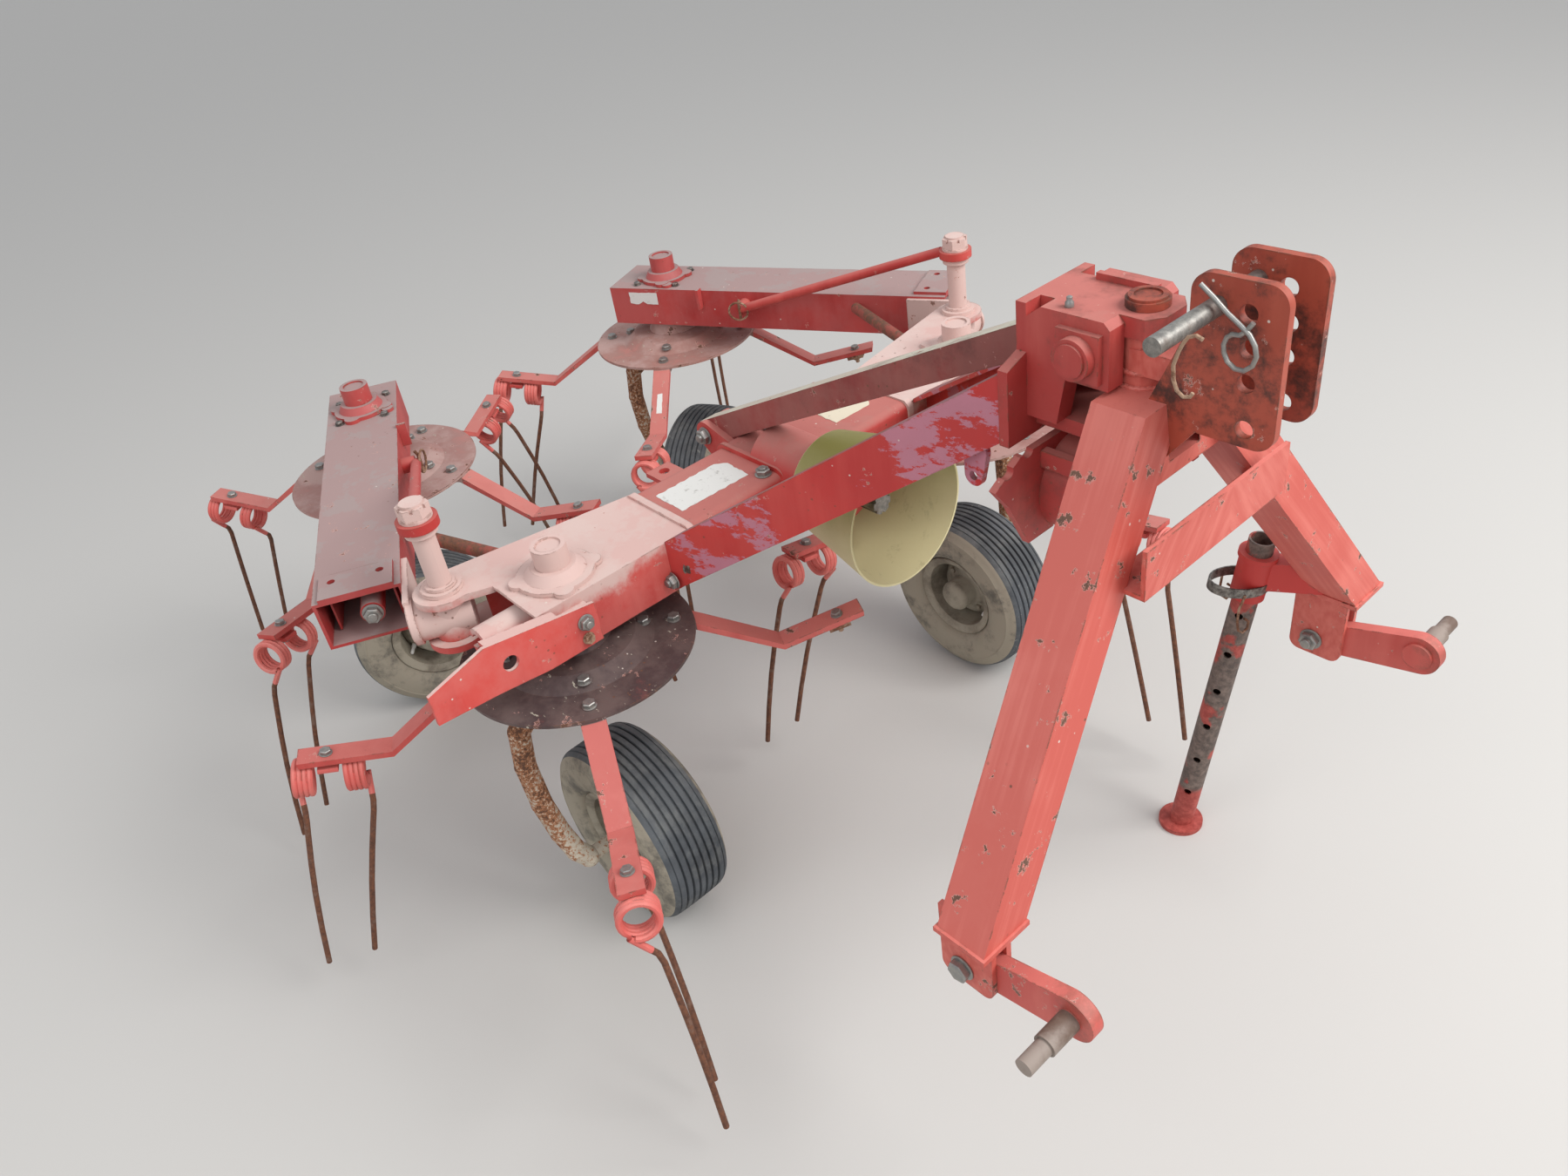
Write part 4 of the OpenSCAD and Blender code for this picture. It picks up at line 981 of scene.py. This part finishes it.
def add_labels():
    """Worn labels with nothing on them, on the centre beam, an outer beam and a rotor's arm."""
    top = Matrix.Translation((0, 0, BEAM_TOP + 1.1))
    add_label("blank_label_near", "chassis", label, on_chassis, top, NEAR_LABEL, 0.9)
    add_label("blank_label_far", "chassis", old_label, on_chassis, top, FAR_LABEL, 0.9)

    outside = axes((-50.2, 1287, 692), (-1, 0, 0), (0, 1, 0))
    add_label("blank_label_outer", "arm_left", label, on_arm(1), outside, OUTER_LABEL, 0.5)

    under = DISC_Z - DISC_T
    arm_root = Vector((DISC_R - 2, 0.0, under))
    slope = (Vector((ARM_BEND.x, 0.0, ARM_BEND.y)) - arm_root).normalized()
    on_slope = axes(arm_root + slope * 84.0, -slope.cross(ACROSS), slope)
    add_label("blank_label_rotor", "reel_d", label, on_rotor_arm("d", 3), on_slope, ROTOR_LABEL, 0.4)


def add_frame_bolts():
    """Bolts of the beam, the strut, the drawbar arms and the guard brackets, and a grease nipple."""
    dark, rust = 1, 2
    piece = Piece("frame_bolts", "chassis", [galvanised, dark_steel, rusty], "bare_steel")
    # On the beam's top, then the two ends of the bolt through the strut's foot
    piece.bolt((41, -69, BEAM_TOP + 1), (0, 0, 1), 13, shank=3)
    piece.bolt((-59, 35, BEAM_TOP + 7), (0, 0, 1), 13, dark, shank=3)
    piece.bolt((-156, -30.2, 704), (0, -1, 0), 15, shank=5)
    piece.bolt((-156, 30.2, 704), (0, 1, 0), 15)
    # Two at each drawbar arm's foot, and two at each guard bracket's inner end
    for side in (-1, 1):
        piece.bolt((90, side * 267, 672), (1, 0, 0), 12, dark)
        piece.bolt((BEAM_FRONT + 5, side * 287, 650), (0, side, 0), 13, shank=4)
        piece.bolt((91.2, side * 453, 682), (1, 0, 0), 12, shank=4)
        piece.bolt((91.2, side * 455, 655), (1, 0, 0), 9, rust)
    # On the pivot bracket's top plate
    nipple = [(5, 0), (5, 5), (3.4, 7), (3.4, 11), (2, 12)]
    piece.knob(axes((605, -46, 1110.2), (0, 0, 1)), nipple, 12)
    piece.done()


def add_outer_beam_fittings():
    """Cover bolts, plates in the beam's mouth, its end bolt, the tie rod's ring clip and a hanging pin."""
    zinc, paint, rust = 1, 2, 3
    for side, name in ((-1, "right"), (1, "left")):
        piece = Piece("outer_beam_fittings_" + name, "arm_" + name, [dark_steel, galvanised, far_beam, rusty],
                      "bare_steel", on_arm(side))
        for x, y in ((-30, 1308), (58, 1305), (-28, 1214), (56, 1218)):
            piece.bolt((x, y, BEAM_TOP + 0.2), (0, 0, 1), 8)
        for x in (-34, 60):
            piece.block((x, 640, 640), (x + 3, 770, 706), paint)
        piece.bolt((4, 611.8, 673), (0, -1, 0), 15, zinc, shank=4)
        ring = axes((-86, 1042, 686), (1, 0.25, 0.1))
        piece.wire(turned(ring, [(20, 0)], 28)[0], 2.2, material=rust, loop=True)
        piece.wire([(-78, 1041, 709), (-82, 1041, 700), (-82, 1041, 666)], 3.0, material=rust)
        piece.done()


def add_headstock_bolts():
    """The lower arms' bolts through the feet of the legs."""
    piece = Piece("headstock_bolts", "headstock", [galvanised, dark_steel], "bare_steel")
    for side in (-1, 1):
        piece.bolt((733, side * 374.8, 452), (0, -side, 0), 16, shank=6)
        piece.bolt((733, side * 409.2, 452), (0, side, 0), 16)
    piece.done()


def add_headstock_welds():
    """Uneven weld beads round the pivot boss."""
    welds = Piece("headstock_welds", "headstock", [headstock_paint], "red_paint")
    for z, radius in ((1026.5, 31.5), (1044.0, 31.0)):
        bead = []
        for k, a in enumerate(around(90)):
            r = radius + 0.5 * math.sin(7.3 * k)
            bead.append((SWING_X + r * math.cos(a), r * math.sin(a), z + 0.6 * math.sin(2.1 * k)))
        welds.wire(bead, 3.0, loop=True)
    welds.done()


def add_top_link_clip():
    """The spring clip through the top link pin's end and the wire that hangs from the pin."""
    spring = Piece("top_link_clip", "headstock", [galvanised, rusty], "bare_steel")
    spring.wire(CLIP, 2.6, 10)
    spring.wire(HOOKED_WIRE, 2.0, material=1)
    spring.done()


def add_sleeve_strap():
    """An oval strap round the stand's sleeve, with two rusty wire clips hanging from it."""
    sleeve = axes(SLEEVE_FOOT, SLEEVE_LEAN, STRAP_OUT)
    strap = Piece("sleeve_strap", "headstock", [dark_steel, rusty], "bare_steel")
    low, high = STRAP_HEIGHTS
    rings = []
    for a in around(40):
        out = Vector((math.cos(a), math.sin(a), 0.0))
        inside = Vector((17.0 + 44.0 * math.cos(a), 27.2 * math.sin(a), 0.0))
        outside = inside + out * STRAP_T
        rings.append([
            sleeve @ (p + Vector((0, 0, z)))
            for p, z in ((inside, low), (outside, low), (outside, high), (inside, high))
        ])
    strap.rings(rings, smooth=False, loop=True)
    for side, drop in ((-1, 0.0), (1, 12.0)):
        hang = [
            (20, 30, 562), (26, 34, 552 - drop), (24, 35, 530 - drop), (18, 34, 512 - drop),
            (10, 33, 506 - drop), (4, 33, 514 - drop), (6, 34, 528 - drop), (14, 34, 534 - drop),
        ]
        strap.wire([sleeve @ Vector((x, side * y, z)) for x, y, z in hang], 2.0, material=1)
    strap.done()


# Scene

def add_camera():
    """The photograph's viewpoint."""
    heading, down_tilt, roll = (math.radians(a) for a in (CAMERA_HEADING, CAMERA_DOWN, CAMERA_ROLL))
    view = Vector((
        math.cos(heading) * math.cos(down_tilt),
        math.sin(heading) * math.cos(down_tilt),
        -math.sin(down_tilt),
    ))
    level = Vector((math.sin(heading), -math.cos(heading), 0.0))
    below = view.cross(level)
    right = math.cos(roll) * level + math.sin(roll) * below
    down = math.cos(roll) * below - math.sin(roll) * level
    data = bpy.data.cameras.new("camera")
    data.sensor_width = SENSOR_MM
    data.lens = SENSOR_MM * FOCAL_PX / PHOTO_WIDTH
    data.clip_start = 0.05
    camera = bpy.data.objects.new("camera", data)
    bpy.context.collection.objects.link(camera)
    turn = Matrix((right, -down, -view)).transposed().to_4x4()
    camera.matrix_world = Matrix.Translation(at(*CAMERA_AT)) @ turn
    bpy.context.scene.camera = camera


def add_light():
    """An even pale sky, a key light from the front left and a weak fill from the right."""
    world = bpy.data.worlds.new("studio")
    world.use_nodes = True
    background = world.node_tree.nodes["Background"]
    background.inputs["Color"].default_value = (0.92, 0.95, 1.0, 1.0)
    background.inputs["Strength"].default_value = 0.72
    bpy.context.scene.world = world
    for name, place, size, power in (
        ("key", (3.4, 1.6, 3.8), 2.6, 210.0),
        ("fill", (1.0, -3.5, 3.5), 3.5, 50.0),
    ):
        data = bpy.data.lights.new(name, "AREA")
        data.size = size
        data.energy = power
        lamp = bpy.data.objects.new(name, data)
        lamp.location = place
        lamp.rotation_euler = (-Vector(place)).to_track_quat("-Z", "Y").to_euler()
        bpy.context.collection.objects.link(lamp)


def add_floor():
    """A plain pale floor, wide enough that its rim is far off in every view."""
    mesh = bpy.data.meshes.new("floor")
    r = 80.0
    mesh.from_pydata([(-r, -r, 0), (r, -r, 0), (r, r, 0), (-r, r, 0)], [], [(0, 1, 2, 3)])
    floor = bpy.data.objects.new("floor", mesh)
    bpy.context.collection.objects.link(floor)
    material = bpy.data.materials.new("floor")
    material.use_nodes = True
    surface = material.node_tree.nodes["Principled BSDF"]
    surface.inputs["Base Color"].default_value = srgb(196, 193, 188)
    surface.inputs["Roughness"].default_value = 0.9
    mesh.materials.append(material)


add_camera()
add_light()
add_floor()
dress_nodes()
add_tines()
add_rotor_fasteners()
add_wheels()
add_labels()
add_frame_bolts()
add_outer_beam_fittings()
add_headstock_bolts()
add_headstock_welds()
add_top_link_clip()
add_sleeve_strap()

bpy.context.scene.view_settings.view_transform = "Standard"
